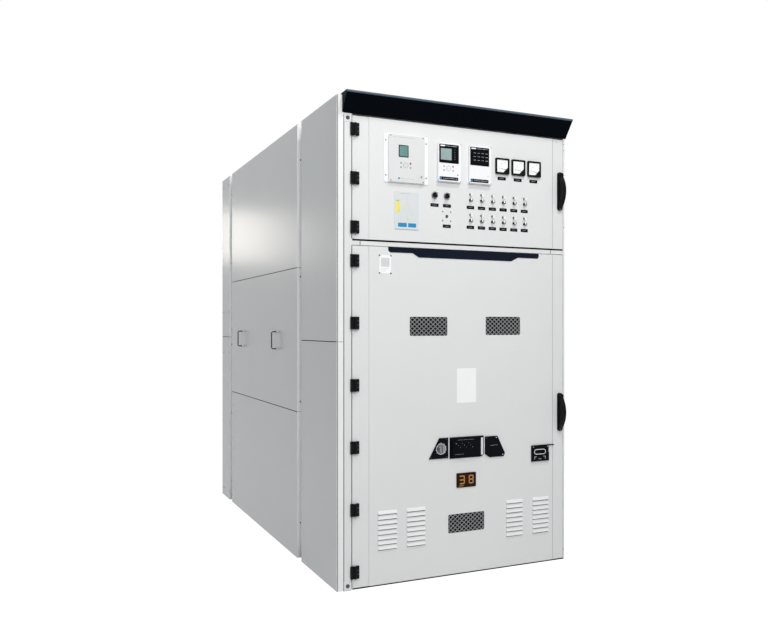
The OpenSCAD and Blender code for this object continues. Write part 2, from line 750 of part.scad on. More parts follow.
// Spring mechanism housing with its faceplate, push buttons and position windows
module mechanism_box() color(side_grey) {
  y0 = chassis_y0 + 85;
  z0 = chassis_z1;
  face = y0 - 8;
  difference() {
    box(-300, 300, y0, y0 + 350, z0, z0 + 570);
    box(-297, 297, y0 + sheet, y0 + 351, z0 + sheet, z0 + 567);
  }
  rod_x(18, -297.5, 297.5, y0 + 250, z0 + 200);
  for (x = [-phase + 30, 0, phase - 30]) {
    rod_x(30, x - 12, x + 12, y0 + 250, z0 + 200);
    box(x - 8, x + 8, y0 + 250, y0 + 340, z0 + 190, z0 + 210);
  }
  for (x = [-240, 240]) rod_z(32, z0 + 2, z0 + 420, x, y0 + 90);
  box(-130, 90, y0 + 2, y0 + 170, z0 + 230, z0 + 430);
  rod_x(45, 89, 190, y0 + 85, z0 + 330);
  difference() {
    box(-270, 270, face, y0, z0 + 60, z0 + 520);
    for (x = [-180, 60]) box(x, x + 120, face - 1, face + 4, z0 + 400, z0 + 450);
    box(-60, 60, face - 1, face + 4, z0 + 120, z0 + 190);
  }
  for (x = [-120, 120]) rod_y(22, face - 14, face, x, z0 + 300);
  rod_y(16, face - 10, face, 200, z0 + 155);
  for (x = [-210, 210], y = [y0 + 60, y0 + 290]) rod_z(14, z0 + 570, z0 + 582, x, y);
}

// Embedded poles: ribbed resin columns with a flat boss at each arm
module pole_columns() color(resin)
  at_phases() translate([0, pole_y, 0]) {
    rod_z(105, chassis_z1, chassis_z1 + 14, 0, 0);
    pole_ribs(62, 88, chassis_z1 + 14, contact_z - 70, 4);
    pole_head(contact_z);
    pole_ribs(70, 94, contact_z + 70, upper_z - 70, 8);
    pole_head(upper_z);
    translate([0, 0, upper_z + 70]) cylinder(r1 = 92, r2 = 62, h = 36);
  }

module pole_ribs(core, shed, z0, z1, n) {
  p = (z1 - z0) / n;
  rod_z(core, z0, z1, 0, 0);
  for (i = [0:n - 1])
    translate([0, 0, z0 + (i + 0.25) * p]) cylinder(r1 = shed, r2 = core, h = p / 2);
}

module pole_head(z) {
  rod_z(92, z - 70, z + 70, 0, 0);
  box(-45, 45, 0, boss_y - pole_y, z - 45, z + 45);
}

// Contact arm with a cluster of spring-loaded fingers at its tip
module contact_arms() color(copper)
  at_phases() for (z = [contact_z, upper_z]) contact_arm(z);

finger_n = 12;
module contact_arm(z) {
  cluster = tip_y - 90;
  rod_y(44, boss_y, boss_y + 16, 0, z);
  rod_y(38, boss_y + 16, cluster - 14, 0, z);
  difference() {
    union() {
      rod_y(41, cluster - 14, tip_y, 0, z);
      for (y = [tip_y - 30, tip_y - 66]) rod_y(44, y, y + 8, 0, z);
    }
    rod_y(contact_r + 0.6, cluster + 6, tip_y + 1, 0, z);
    translate([0, 0, z]) for (i = [0:finger_n / 2 - 1])
      rotate([0, i * 360 / finger_n, 0]) box(-60, 60, cluster + 6, tip_y + 1, -1, 1);
  }
}

// Cross-section of a door pan in plan, and its end plate
module door_section()
  fold([[door_l + skin / 2, door_y + pan_d - skin / 2], [door_l + skin / 2, door_y + skin / 2],
        [field_l, door_y + skin / 2], [field_l, field_y + skin / 2],
        [field_r, field_y + skin / 2], [field_r, door_y + skin / 2],
        [door_r - skin / 2, door_y + skin / 2],
        [door_r - skin / 2, door_y + pan_d - skin / 2]], skin);

module door_outline()
  polygon([[door_l, door_y + pan_d], [door_l, door_y], [field_l - skin / 2, door_y],
           [field_l - skin / 2, field_y], [field_r + skin / 2, field_y],
           [field_r + skin / 2, door_y], [door_r, door_y], [door_r, door_y + pan_d]]);

module door_pan(z0, z1) {
  translate([0, 0, z0]) linear_extrude(z1 - z0) door_section();
  for (z = [z0, z1 - skin]) translate([0, 0, z]) linear_extrude(skin) door_outline();
}

// Rectangle with true round corners, centred, in a section
module rounded(w, h, r) {
  square([w - 2 * r, h], center = true);
  square([w, h - 2 * r], center = true);
  for (x = [-1, 1], y = [-1, 1])
    translate([x * (w / 2 - r), y * (h / 2 - r)]) circle(r = r);
}

vent_at = [[door_c - 232, 1389], [door_c + 244, 1392], [door_c + 4, 289]];
louvre_at = [[door_c - 535, 196], [door_c - 365, 196], [door_c + 264, 182],
             [door_c + 444, 182]];

// Pressed louvre: a sloping hood, open at its lower edge and through the skin
module louvre_hood(x, z)
  along_x(x, x + louvre_w)
    polygon([[field_y + 0.5, z + 19], [field_y, z + 19], [field_y - 7, z + 3],
             [field_y - 7, z], [field_y + 0.5, z]]);

module louvre_hollow(x, z)
  along_x(x + 1.5, x + louvre_w - 1.5)
    polygon([[field_y + skin + 1, z + 15], [field_y, z + 15], [field_y - 5.4, z + 2.6],
             [field_y - 5.4, z - 1], [field_y, z - 1], [field_y, z + 3],
             [field_y + skin + 1, z + 3]]);

module door_hat(x, z0, z1)
  translate([x, field_y + skin, z0]) linear_extrude(z1 - z0)
    fold([[-22, 0.9], [-12, 0.9], [-12, 21], [12, 21], [12, 0.9], [22, 0.9]], 2);

panel_hole_r = 22;
module main_door() color(grey) difference() {
  union() {
    door_pan(main_z0, main_z1);
    for (g = louvre_at, i = [0:louvre_n - 1]) louvre_hood(g.x, g.y + i * louvre_p);
    for (x = [door_c - 395, door_c + 409]) door_hat(x, main_z0 + skin, main_z1 - skin);
  }
  for (g = louvre_at, i = [0:louvre_n - 1]) louvre_hollow(g.x, g.y + i * louvre_p);
  for (v = vent_at)
    along_y(field_y - 1, field_y + skin + 1) translate(v) rounded(vent_w, vent_h, 9);
  rod_y(panel_hole_r, field_y - 1, field_y + skin + 1, 0, screw_z);
  rod_y(knob_r + 2, field_y - 1, field_y + skin + 1, knob_x, screw_z);
  rod_y(earth_hole_r, field_y - 1, field_y + skin + 1, slide_x, earth_hole_z);
  rod_y(spindle_r + 4, door_y - 1, door_y + skin + 1, handle_x, main_pivot_z);
}

// Expanded mesh plates behind the door's three cut-outs
module door_vents() color(grey)
  for (v = vent_at)
    along_y(field_y + skin, field_y + skin + 2) translate(v) difference() {
      square([vent_w + 20, vent_h + 18], center = true);
      intersection() {
        rounded(vent_w - 3, vent_h - 3, 8);
        mesh_holes();
      }
    }

module mesh_holes() {
  nx = ceil(vent_w / mesh_px);
  nz = ceil(vent_h / mesh_pz);
  hx = mesh_px / 2 - strand * 0.65;
  hz = mesh_pz / 2 - strand * 0.55;
  for (i = [-nx:nx], j = [-nz:nz])
    if ((i + j) % 2 == 0)
      translate([i * mesh_px / 2, j * mesh_pz / 2])
        polygon([[-hx, 0], [0, -hz], [hx, 0], [0, hz]]);
}

// A hinge: fixed leaf with two end knuckles and the pin, and a moving leaf between them
knuckle = hinge_h * 0.28;
module hinge_fixed(z)
  translate([hinge_x, hinge_y, z - hinge_h / 2]) {
    box(-hinge_leaf_l, -barrel_r + 1, 0, -hinge_y + yf, 0, hinge_h);
    for (z0 = [0, hinge_h - knuckle]) {
      cylinder_at(barrel_r, z0, z0 + knuckle);
      box(-barrel_r, 0, -barrel_r + 2, 0.5, z0, z0 + knuckle);
    }
    cylinder_at(hinge_pin_r, 0, hinge_h);
  }

module cylinder_at(r, z0, z1) translate([0, 0, z0]) cylinder(r = r, h = z1 - z0);

module hinge_moving(z)
  translate([hinge_x, hinge_y, z - hinge_h / 2]) difference() {
    union() {
      cylinder_at(barrel_r, knuckle + 0.4, hinge_h - knuckle - 0.4);
      box(0, hinge_leaf_r, 2, -hinge_y + door_y, knuckle + 0.4, hinge_h - knuckle - 0.4);
      box(barrel_r + 1, hinge_leaf_r, 2, -hinge_y + door_y, 0, hinge_h);
    }
    cylinder_at(hinge_pin_r + fit, -1, hinge_h + 1);
  }

module fixed_hinges() color(black)
  for (z = concat(lv_hinges, main_hinges)) difference() {
    hinge_fixed(z);
    translate([hinge_x, hinge_y, z - hinge_h / 2 + knuckle])
      box(-barrel_r - 0.5, -hinge_pin_r - 0.01, -barrel_r - 1, 13, 0, hinge_h - 2 * knuckle);
  }

// Handle base: a long plate with round ends and a bore for the spindle
module handle_base(zc, pivot_z)
  difference() {
    along_y(door_y - handle_t, door_y) translate([handle_x, zc])
      rounded(handle_w, handle_h, handle_w / 2 - 2);
    rod_y(spindle_r + fit, door_y - handle_t - 1, door_y + 1, handle_x, pivot_z);
    along_y(door_y - handle_t - 1, door_y - handle_t + 4) translate([handle_x, zc - 14])
      rounded(handle_w - 10, handle_h - 70, 8);
  }

// Bow-shaped lever: outer and inner arcs in side view, a pivot boss and the spindle
lever_w = 25;
module lever(zc, pivot_z, spindle_end) {
  back = door_y - handle_t - 0.5;
  half = handle_h / 2 - 14;
  bulge = 42;
  hollow = 20;
  hollow_half = half - 20;
  r_out = (half * half + bulge * bulge) / (2 * bulge);
  r_in = (hollow_half * hollow_half + hollow * hollow) / (2 * hollow);
  along_x(handle_x - lever_w / 2, handle_x + lever_w / 2) difference() {
    intersection() {
      translate([back + r_out - bulge, zc]) circle(r = r_out, $fn = 160);
      translate([back - 2 * bulge, zc - half]) square([2 * bulge, 2 * half]);
    }
    translate([back + r_in - hollow, zc]) circle(r = r_in, $fn = 160);
  }
  rod_y(13, back - 15, back, handle_x, pivot_z);
  rod_y(spindle_r, back - 1, spindle_end, handle_x, pivot_z);
}

function upper_rod_x() = handle_x + pinion_r + 1.25 * gear_m + rod_w / 2;
function lower_rod_x() = handle_x - pinion_r - 1.25 * gear_m - rod_w / 2;

// Teeth with straight 20 degree flanks; the tooth gap faces the rack at rest
module tooth(h_add, h_ded) {
  half = gear_m * PI / 4 - backlash / 2;
  polygon([[-h_ded, -half - h_ded * tan(20)], [h_add, -half + h_add * tan(20)],
           [h_add, half - h_add * tan(20)], [-h_ded, half + h_ded * tan(20)]]);
}

module pinion()
  along_y(pinion_y, pinion_y + pinion_t) translate([handle_x, main_pivot_z]) {
    circle(r = pinion_r - 1.2 * gear_m);
    for (i = [0:pinion_teeth - 1]) rotate(i * 360 / pinion_teeth)
      translate([pinion_r, 0]) tooth(0.9 * gear_m, 1.3 * gear_m);
  }

module rack_teeth(n0, n1)
  for (i = [n0:n1]) translate([0, (i + 0.5) * gear_m * PI]) tooth(0.9 * gear_m, 1.3 * gear_m);

module lock_rod_upper() color(steel)
  along_y(pinion_y + 1, pinion_y + 1 + rod_t) {
    translate([upper_rod_x() - rod_w / 2, main_pivot_z - 14])
      square([rod_w, main_z1 - rod_in - main_pivot_z + 14]);
    translate([handle_x + pinion_r, main_pivot_z]) mirror([1, 0]) rack_teeth(-3, 7);
  }

module lock_rod_lower() color(steel)
  along_y(pinion_y + 1, pinion_y + 1 + rod_t) {
    translate([lower_rod_x() - rod_w / 2, main_z0 + rod_in])
      square([rod_w, main_pivot_z + 14 - main_z0 - rod_in]);
    translate([handle_x - pinion_r, main_pivot_z]) rack_teeth(-8, 2);
  }

// Guide that holds a lock rod against the door skin
module rod_guide(x, z)
  difference() {
    box(x - rod_w / 2 - 4, x + rod_w / 2 + 0.6, door_y + skin, pinion_y + rod_t + 5, z, z + 24);
    box(x - rod_w / 2 - 0.5, x + rod_w / 2 + 1, pinion_y + 0.5, pinion_y + rod_t + 1.5,
        z - 1, z + 25);
  }

module main_door_fittings() color(black) {
  handle_base(handle_z, main_pivot_z);
  for (z = main_hinges) hinge_moving(z);
  rod_span = main_z1 - 80 - main_pivot_z;
  for (i = [0.15, 0.55, 0.95]) rod_guide(upper_rod_x(), main_pivot_z + i * rod_span);
  for (i = [0.15, 0.55, 0.9]) rod_guide(lower_rod_x(), main_pivot_z - i * (main_pivot_z - 80));
}

module main_handle() color(black) {
  lever(handle_z, main_pivot_z, pinion_y + pinion_t);
  color(steel) pinion();
}

module lv_handle() color(black) {
  lever(lv_handle_z, lv_pivot_z, pinion_y + 8);
  color(steel) box(handle_x - 10, xr - strip_r + 4.5, pinion_y + 1, pinion_y + 7,
                   lv_pivot_z - 8, lv_pivot_z + 8);
}

// Operating plates: knob plate, racking plate with its window, and key plate
knob_x = door_c - 159;
knob_r = 8;
knob_bore = knob_r + fit;
module operating_panel() color(black) {
  y1 = field_y;
  y0 = y1 - panel_t;
  difference() {
    along_y(y0, y1)
      polygon([[door_c - 232, screw_z - 53], [door_c - 114, screw_z - 53],
               [door_c - 114, screw_z + 60], [door_c - 169, screw_z + 60]]);
    rod_y(knob_bore, y0 - 1, y1 + 1, knob_x, screw_z);
  }
  difference() {
    union() {
      along_y(y0, y1)
        polygon([[door_c - 104, screw_z - 58], [door_c + 90, screw_z - 58],
                 [door_c + 112, screw_z - 50], [door_c + 112, screw_z + 60],
                 [door_c - 104, screw_z + 60]]);
      for (x = [flap_x0 - 4.3, flap_x1 + 0.3])
        box(x, x + 4, flap_axis_y - 4, y0 + 0.5, flap_axis_z - 4, flap_axis_z + 4);
      rod_x(2, flap_x0 - 4.3, flap_x1 + 4.3, flap_axis_y, flap_axis_z);
    }
    rod_y(panel_hole_r, y0 - 1, y1 + 1, 0, screw_z);
  }
  along_y(y0, y1)
    polygon([[door_c + 122, screw_z + 53], [door_c + 203, screw_z + 53],
             [door_c + 253, screw_z - 48], [door_c + 244, screw_z - 66],
             [door_c + 151, screw_z - 66], [door_c + 122, screw_z - 47]]);
  slide_guide();
}

// Guide plate for the earthing switch slide, with a lip down each side
module slide_guide() {
  y0 = field_y - 5;
  lip = slide_w / 2 + 2.5;
  difference() {
    box(slide_x - lip - 2, slide_x + lip + 2, y0, field_y, slide_z - slide_h / 2,
        slide_z + slide_h / 2);
    rod_y(earth_hole_r, y0 - 1, field_y + 1, slide_x, earth_hole_z);
  }
  for (s = [-1, 1])
    box(slide_x + s * lip - 2, slide_x + s * lip + 2, y0 - 5, y0 + 1,
        slide_z - slide_h / 2, slide_z + 4);
}

flap_x0 = door_c - 101;
flap_x1 = door_c + 84;
module racking_flap() color(black) difference() {
  union() {
    rod_x(4.5, flap_x0, flap_x1, flap_axis_y, flap_axis_z);
    box(flap_x0, flap_x1, flap_axis_y + 1.7, flap_axis_y + 5 - clear, screw_z - 53,
        flap_axis_z);
    box(flap_x0 + 8, flap_x1 - 8, flap_axis_y - 5.2, flap_axis_y + 2, screw_z - 46,
        flap_axis_z - 12);
  }
  rod_x(2 + fit, flap_x0 - 1, flap_x1 + 1, flap_axis_y, flap_axis_z);
}

module lock_knob() color(steel) {
  y0 = field_y - panel_t;
  rod_y(knob_r, y0 - 1, field_y + skin + 14, knob_x, screw_z);
  rod_y(knob_r + 5, field_y + skin + 1, field_y + skin + 6, knob_x, screw_z);
  rod_y(24, y0 - 5, y0 - clear, knob_x, screw_z);
  rod_y(18, y0 - 20, y0 - 4, knob_x, screw_z);
  box(knob_x - 3, knob_x + 3, y0 - 26, y0 - 4, screw_z - 17, screw_z + 17);
}

// Slide over the earthing switch's operating hole, with a thumb recess and a long tab
module earth_slide() color(black) {
  y1 = field_y - 5 - clear;
  x0 = slide_x - slide_w / 2;
  difference() {
    box(x0, x0 + slide_w, y1 - 4.5, y1, slide_z - slide_h / 2, slide_z + slide_h / 2);
    along_y(y1 - 5, y1 - 2.5) translate([slide_x, slide_z + 9]) rounded(42, 14, 6);
  }
  box(x0, x0 + slide_w + 40, y1 - 4.5, y1, slide_z + slide_h / 2 - 4, slide_z + slide_h / 2 + 2);
}

// Instrument door with cut-outs for what it carries
module lv_door() color(grey) difference() {
  door_pan(lv_z0, lv_z1);
  for (r = relay_list) along_y(field_y - 1, field_y + skin + 1)
    translate([door_c + r[0], relay_z + r[1]]) square([r[4] + 1, r[5] + 1], center = true);
  for (i = [0:2]) rod_y(39, field_y - 1, field_y + skin + 1, meter_x(i), meter_z);
  for (x = selector_x) rod_y(12, field_y - 1, field_y + skin + 1, x, selector_z);
  rod_y(spindle_r + 4, door_y - 1, door_y + skin + 1, handle_x, lv_pivot_z);
  box(door_r - skin - 1, door_r + 1, pinion_y, pinion_y + 9, lv_pivot_z - 46, lv_pivot_z + 12);
}

function meter_x(i) = door_c + 235 + i * meter_p;
function link_x(k) = link_x0 + (k % 6) * link_p;
function link_z(k) = link_rows[floor(k / 6)];

// Strap terminals: an upper contact post and a lower clevis with its pin
module link_terminals(x, z) {
  translate([x, 0, z]) {
    rod_y(5, field_y - 9, field_y, 0, 16);
    rod_y(7, field_y - 4, field_y, 0, 16);
    for (s = [-1, 1])
      box(s * 6.8 - 1.5, s * 6.8 + 1.5, field_y - 17, field_y, -22, -10);
    rod_x(link_pin_r, -7, 7, field_y - 13, -16);
  }
}

module lv_door_fittings() color(black) {
  for (z = lv_hinges) hinge_moving(z);
  handle_base(lv_handle_z, lv_pivot_z);
  for (k = [0:11]) link_terminals(link_x(k), link_z(k));
  for (x = selector_x) difference() {
    union() {
      rod_y(11.5, field_y, field_y + skin + 1, x, selector_z);
      box(x - 20, x + 20, field_y + skin, field_y + skin + 50, selector_z - 20,
          selector_z + 20);
      rod_y(18, field_y - 3, field_y, x, selector_z);
    }
    rod_y(selector_bore + fit, field_y - 4, field_y + skin + 30, x, selector_z);
  }
}

// A strap that turns on the lower pin and leans on the upper post
module link_strap(k) color([0.92, 0.92, 0.90])
  translate([link_x(k), field_y - 13, link_z(k) - 16]) difference() {
    union() {
      rod_x(4, -5, 5, 0, 0);
      box(-4, 4, 0.5, 3.7, 0, link_bar);
      box(-4.5, 4.5, -6, 3.7, link_bar - 14, link_bar + 6);
    }
    rod_x(link_pin_r + fit, -6, 6, 0, 0);
  }

module selector(x) color(black) {
  rod_y(selector_bore, field_y - 5, field_y + skin + 28, x, selector_z);
  rod_y(14, field_y - 12, field_y - 3 - clear, x, selector_z);
  translate([x, 0, selector_z]) rotate([0, 45, 0])
    box(-3.5, 3.5, field_y - 24, field_y - 10, -14, 14);
}

// x, z, bezel width, bezel height, case width, case height, bezel depth
relay_list = [
  [-370, 0, 262, 262, 200, 240, 14],
  [-112, 4, 148, 220, 128, 196, 18],
  [83, 6, 150, 218, 128, 196, 18]
];
module relays() color([0.90, 0.91, 0.91])
  for (r = relay_list) translate([door_c + r[0], field_y, relay_z + r[1]]) {
    box(-r[4] / 2, r[4] / 2, 0, 170, -r[5] / 2, r[5] / 2);
    box(-r[2] / 2, r[2] / 2, -3, 0, -r[3] / 2, r[3] / 2);
    along_y(-r[6], -2) rounded(min(r[2], r[4] + 14), r[3] - 6, 6);
  }

// Square panel meters: bezel with a sunk dial, and a round can behind the door
module meters() color(black)
  for (i = [0:2]) translate([meter_x(i), field_y, meter_z]) {
    rod_y(38, 0, 45, 0, 0);
    difference() {
      along_y(-12, 0) rounded(meter_w, meter_w, 5);
      along_y(-13, -8) rounded(meter_w - 16, meter_w - 16, 3);
    }
  }

base_frame();
frame();
roof_plate();
side_walls();
end_covers();
access_panel();
rear_covers();
header_canopy();
partitions();
spouts();
busbars();
current_transformers();
arresters_insulators();
earth_switch_frame();
earth_bar();
cabinet_rails();
truck_beam();
fixed_hinges();
flap(flap_ys[0]);  // flap_breaker
flap(flap_ys[1]);  // flap_bus
flap(flap_ys[2]);  // flap_cable
earth_blades();
shutter(rising_y, shutter_h, shutter_lap, -12);  // shutter_upper
shutter(dropping_y, shutter_lap, shutter_h, 9);  // shutter_lower
truck_chassis();
wheel_set(axle_ys[0]);  // wheels_front
wheel_set(axle_ys[1]);  // wheels_rear
mechanism_box();
pole_columns();
contact_arms();
racking_screw();
main_door();
main_door_fittings();
door_vents();
operating_panel();
racking_flap();
lock_knob();
earth_slide();
main_handle();
lock_rod_upper();
lock_rod_lower();
lv_door();
lv_door_fittings();
relays();
meters();
selector(selector_x[0]);  // selector_1
selector(selector_x[1]);  // selector_2
lv_handle();
link_strap(0);  // link_1
link_strap(1);  // link_2
link_strap(2);  // link_3
link_strap(3);  // link_4
link_strap(4);  // link_5
link_strap(5);  // link_6
link_strap(6);  // link_7
link_strap(7);  // link_8
link_strap(8);  // link_9
link_strap(9);  // link_10
link_strap(10);  // link_11
link_strap(11);  // link_12
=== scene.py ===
import math
import bmesh
import bpy
from mathutils import Matrix, Vector


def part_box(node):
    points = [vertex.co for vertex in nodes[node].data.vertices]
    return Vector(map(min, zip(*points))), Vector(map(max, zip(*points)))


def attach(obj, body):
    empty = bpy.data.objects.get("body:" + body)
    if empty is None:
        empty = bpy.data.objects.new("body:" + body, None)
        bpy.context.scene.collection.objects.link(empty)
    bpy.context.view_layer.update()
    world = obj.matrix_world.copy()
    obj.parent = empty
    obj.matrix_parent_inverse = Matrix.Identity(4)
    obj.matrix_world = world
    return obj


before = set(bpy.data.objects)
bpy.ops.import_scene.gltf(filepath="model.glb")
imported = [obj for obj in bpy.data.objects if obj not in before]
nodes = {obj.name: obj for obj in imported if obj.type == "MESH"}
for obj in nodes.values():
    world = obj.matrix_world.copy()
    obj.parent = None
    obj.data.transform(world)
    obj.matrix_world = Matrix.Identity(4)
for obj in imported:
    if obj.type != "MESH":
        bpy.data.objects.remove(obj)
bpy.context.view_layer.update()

# Sizes and places are in millimetres: X to the right, Y to the back, Z up.
MM = 0.001
X, Y, Z = range(3)
LOW, HIGH = range(2)
SIDES = (-1, 1)
CORNERS = ((-1, -1), (-1, 1), (1, -1), (1, 1))


def limit(node, end, axis):
    """Where a node's box ends along an axis, to a tenth of a millimetre."""
    return round(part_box(node)[end][axis] / MM, 1)


def middle(node):
    """Middle of a node's box in X and Z."""
    return tuple((limit(node, LOW, axis) + limit(node, HIGH, axis)) / 2 for axis in (X, Z))


# Faces and edges of the cabinet
FIELD_Y = limit("lv_door", LOW, Y)      # raised face of both doors
DOOR_Y = FIELD_Y + 3                    # margin face of both doors
DOOR_C = 29.0                           # middle of the raised field
POST_Y = limit("frame", LOW, Y)         # face of the front posts
SIDE_X = limit("end_covers", LOW, X)    # face of the left end covers
REAR_Y = limit("rear_covers", HIGH, Y)
MAIN_DOOR_Z = (limit("main_door", LOW, Z), limit("main_door", HIGH, Z))
LV_DOOR_Z = (limit("lv_door", LOW, Z), limit("lv_door", HIGH, Z))
BAY_Y = (-705, 1130)                    # seams between the bays of the left side
RAIL_Z = (2410, 2190, 1970)             # rails of the instrument compartment
INK = 0.3                               # how far small print stands out of its plate

# What sits on the instrument door: middles in X and Z
RELAY_1 = (-341, 2294)
RELAY_2 = (-83, 2298)
RELAY_3 = (112, 2300)
METER_PITCH = 108
METER_X = [middle("meters")[0] + METER_PITCH * i for i in (-1, 0, 1)]
METER_Z = middle("meters")[1]
LINK_X = [middle("link_%d" % k)[0] for k in range(1, 7)]
SELECTORS = (middle("selector_1"), middle("selector_2"))
SOCKET = (-92, 2000)

# What sits on the main door
KNOB = middle("lock_knob")
STICKER = (-463.5, 1721)
CARD = (33.5, 1057.5)
DISPLAY = (30, 528)
SLIDE = (519, 655)
VENTS = ((DOOR_C - 232, 1389), (DOOR_C + 244, 1392), (DOOR_C + 4, 289))
LOUVRES = ((DOOR_C - 535, 196), (DOOR_C - 365, 196), (DOOR_C + 264, 182), (DOOR_C + 444, 182))

# Camera, fitted to the edges of the photo
CAM_PLACE = (-2.176, -5.403, 1.381)
CAM_TURN = -25.42
CAM_LENS = 38.06
CAM_SHIFT = (-0.0431, 0.0102)

scene = bpy.context.scene
cam_data = bpy.data.cameras.new("photo_camera")
cam = bpy.data.objects.new("photo_camera", cam_data)
scene.collection.objects.link(cam)
scene.camera = cam
cam.location = CAM_PLACE
cam.rotation_euler = (math.radians(90), 0, math.radians(CAM_TURN))
cam_data.sensor_width = 36
cam_data.lens = CAM_LENS
cam_data.shift_x, cam_data.shift_y = CAM_SHIFT
cam_data.clip_end = 100
scene.view_settings.view_transform = "Standard"


# Materials
def new_mat(name):
    """An empty material with one Principled shader on its output."""
    m = bpy.data.materials.new(name)
    m.use_nodes = True
    nt = m.node_tree
    nt.nodes.clear()
    out = nt.nodes.new("ShaderNodeOutputMaterial")
    bsdf = nt.nodes.new("ShaderNodeBsdfPrincipled")
    nt.links.new(bsdf.outputs[0], out.inputs[0])
    return m, nt, bsdf


def noise(nt, scale, detail=3.0, rough=0.5, stretch=None):
    """Noise on object coordinates, drawn out along an axis where stretch is given."""
    tc = nt.nodes.new("ShaderNodeTexCoord")
    tex = nt.nodes.new("ShaderNodeTexNoise")
    tex.inputs["Scale"].default_value = scale
    tex.inputs["Detail"].default_value = detail
    tex.inputs["Roughness"].default_value = rough
    src = tc.outputs["Object"]
    if stretch:
        mp = nt.nodes.new("ShaderNodeMapping")
        mp.inputs["Scale"].default_value = stretch
        nt.links.new(src, mp.inputs[0])
        src = mp.outputs[0]
    nt.links.new(src, tex.inputs["Vector"])
    return tex.outputs["Fac"]


def ramp(nt, fac, stops):
    """Colours by a factor; stops is a list of (position, colour)."""
    r = nt.nodes.new("ShaderNodeValToRGB")
    els = r.color_ramp.elements
    while len(els) < len(stops):
        els.new(0.5)
    for e, (pos, col) in zip(els, stops):
        e.position = pos
        e.color = (*col, 1)
    nt.links.new(fac, r.inputs[0])
    return r.outputs[0]


def scaled(nt, fac, lo, hi):
    """A factor of 0 to 1 mapped to lo to hi."""
    r = nt.nodes.new("ShaderNodeMapRange")
    r.inputs["To Min"].default_value = lo
    r.inputs["To Max"].default_value = hi
    nt.links.new(fac, r.inputs[0])
    return r.outputs[0]


def shade(c, f):
    """A colour made darker or brighter by a factor."""
    return tuple(min(1.0, v * f) for v in c)


def surface(name, color, rough=0.4, metallic=0.0, vary=0.03, cloud=3.0, grain=900.0,
            bump=0.05, coat=0.0, edge=0.0012, rough_vary=0.05, stretch=None, depth=0.0004,
            spec=0.5):
    """A surface with soft colour drift, fine grain and rounded edges."""
    m, nt, b = new_mat(name)
    drift = noise(nt, cloud, 4.0, 0.55)
    col = ramp(nt, drift, [(0.3, shade(color, 1 - vary)), (0.7, shade(color, 1 + vary))])
    nt.links.new(col, b.inputs["Base Color"])
    fine = noise(nt, grain, 2.0, 0.6, stretch)
    nt.links.new(scaled(nt, fine, rough - rough_vary, rough + rough_vary),
                 b.inputs["Roughness"])
    bp = nt.nodes.new("ShaderNodeBump")
    bp.inputs["Strength"].default_value = bump
    bp.inputs["Distance"].default_value = depth
    nt.links.new(fine, bp.inputs["Height"])
    if edge:
        bev = nt.nodes.new("ShaderNodeBevel")
        bev.samples = 4
        bev.inputs["Radius"].default_value = edge
        nt.links.new(bev.outputs[0], bp.inputs["Normal"])
    nt.links.new(bp.outputs[0], b.inputs["Normal"])
    b.inputs["Metallic"].default_value = metallic
    b.inputs["Specular IOR Level"].default_value = spec
    b.inputs["Coat Weight"].default_value = coat
    b.inputs["Coat Roughness"].default_value = 0.08
    return m


def spangle(name, color):
    """Zinc-coated sheet: crystals of slightly different grey and gloss."""
    m, nt, b = new_mat(name)
    tc = nt.nodes.new("ShaderNodeTexCoord")
    v = nt.nodes.new("ShaderNodeTexVoronoi")
    v.inputs["Scale"].default_value = 90
    v.inputs["Randomness"].default_value = 1.0
    nt.links.new(tc.outputs["Object"], v.inputs["Vector"])
    bw = nt.nodes.new("ShaderNodeRGBToBW")
    nt.links.new(v.outputs["Color"], bw.inputs[0])
    col = ramp(nt, bw.outputs[0], [(0.2, shade(color, 0.93)), (0.8, shade(color, 1.06))])
    nt.links.new(col, b.inputs["Base Color"])
    nt.links.new(scaled(nt, bw.outputs[0], 0.38, 0.52), b.inputs["Roughness"])
    b.inputs["Metallic"].default_value = 0.75
    return m


def glow(name, color, strength):
    """A screen or segment that gives a little light of its own."""
    m, nt, b = new_mat(name)
    fac = noise(nt, 60, 2.0)
    col = ramp(nt, fac, [(0.3, shade(color, 0.9)), (0.7, color)])
    nt.links.new(col, b.inputs["Base Color"])
    nt.links.new(col, b.inputs["Emission Color"])
    b.inputs["Emission Strength"].default_value = strength
    b.inputs["Roughness"].default_value = 0.35
    return m


# Every finish by the name that the pieces use
M = {}
M["door"] = surface("door_paint", (0.735, 0.745, 0.742), 0.42, vary=0.012, cloud=1.2,
                    grain=1100, bump=0.10, edge=0.0014, spec=0.35)
M["cover"] = surface("cover_paint", (0.490, 0.508, 0.514), 0.25, vary=0.02, cloud=1.0,
                     grain=1100, bump=0.10, edge=0.0016, spec=0.5)
M["header"] = surface("header_paint", (0.0008, 0.0020, 0.0038), 0.40, vary=0.15, cloud=2.0,
                      grain=900, bump=0.06, edge=0.006, rough_vary=0.04, spec=0.02)
M["navy"] = surface("navy_board", (0.0045, 0.0085, 0.0170), 0.42, vary=0.1, cloud=3.0,
                    grain=700, bump=0.05, edge=0, spec=0.06)
M["black"] = surface("black_powder", (0.0025, 0.0028, 0.0038), 0.40, vary=0.2, cloud=20,
                     grain=1400, bump=0.12, edge=0.0016, spec=0.10)
M["gloss_black"] = surface("black_gloss", (0.0022, 0.0030, 0.0050), 0.30, vary=0.2, cloud=20,
                           grain=300, bump=0.02, edge=0.001, rough_vary=0.03, spec=0.05)
M["plastic"] = surface("black_plastic", (0.0050, 0.0050, 0.0056), 0.45, vary=0.15, cloud=25,
                       grain=1800, bump=0.12, edge=0.0006, spec=0.08)
M["rubber"] = surface("black_rubber", (0.0060, 0.0060, 0.0060), 0.75, vary=0.2, cloud=30,
                      grain=1500, bump=0.1, edge=0, spec=0.08)
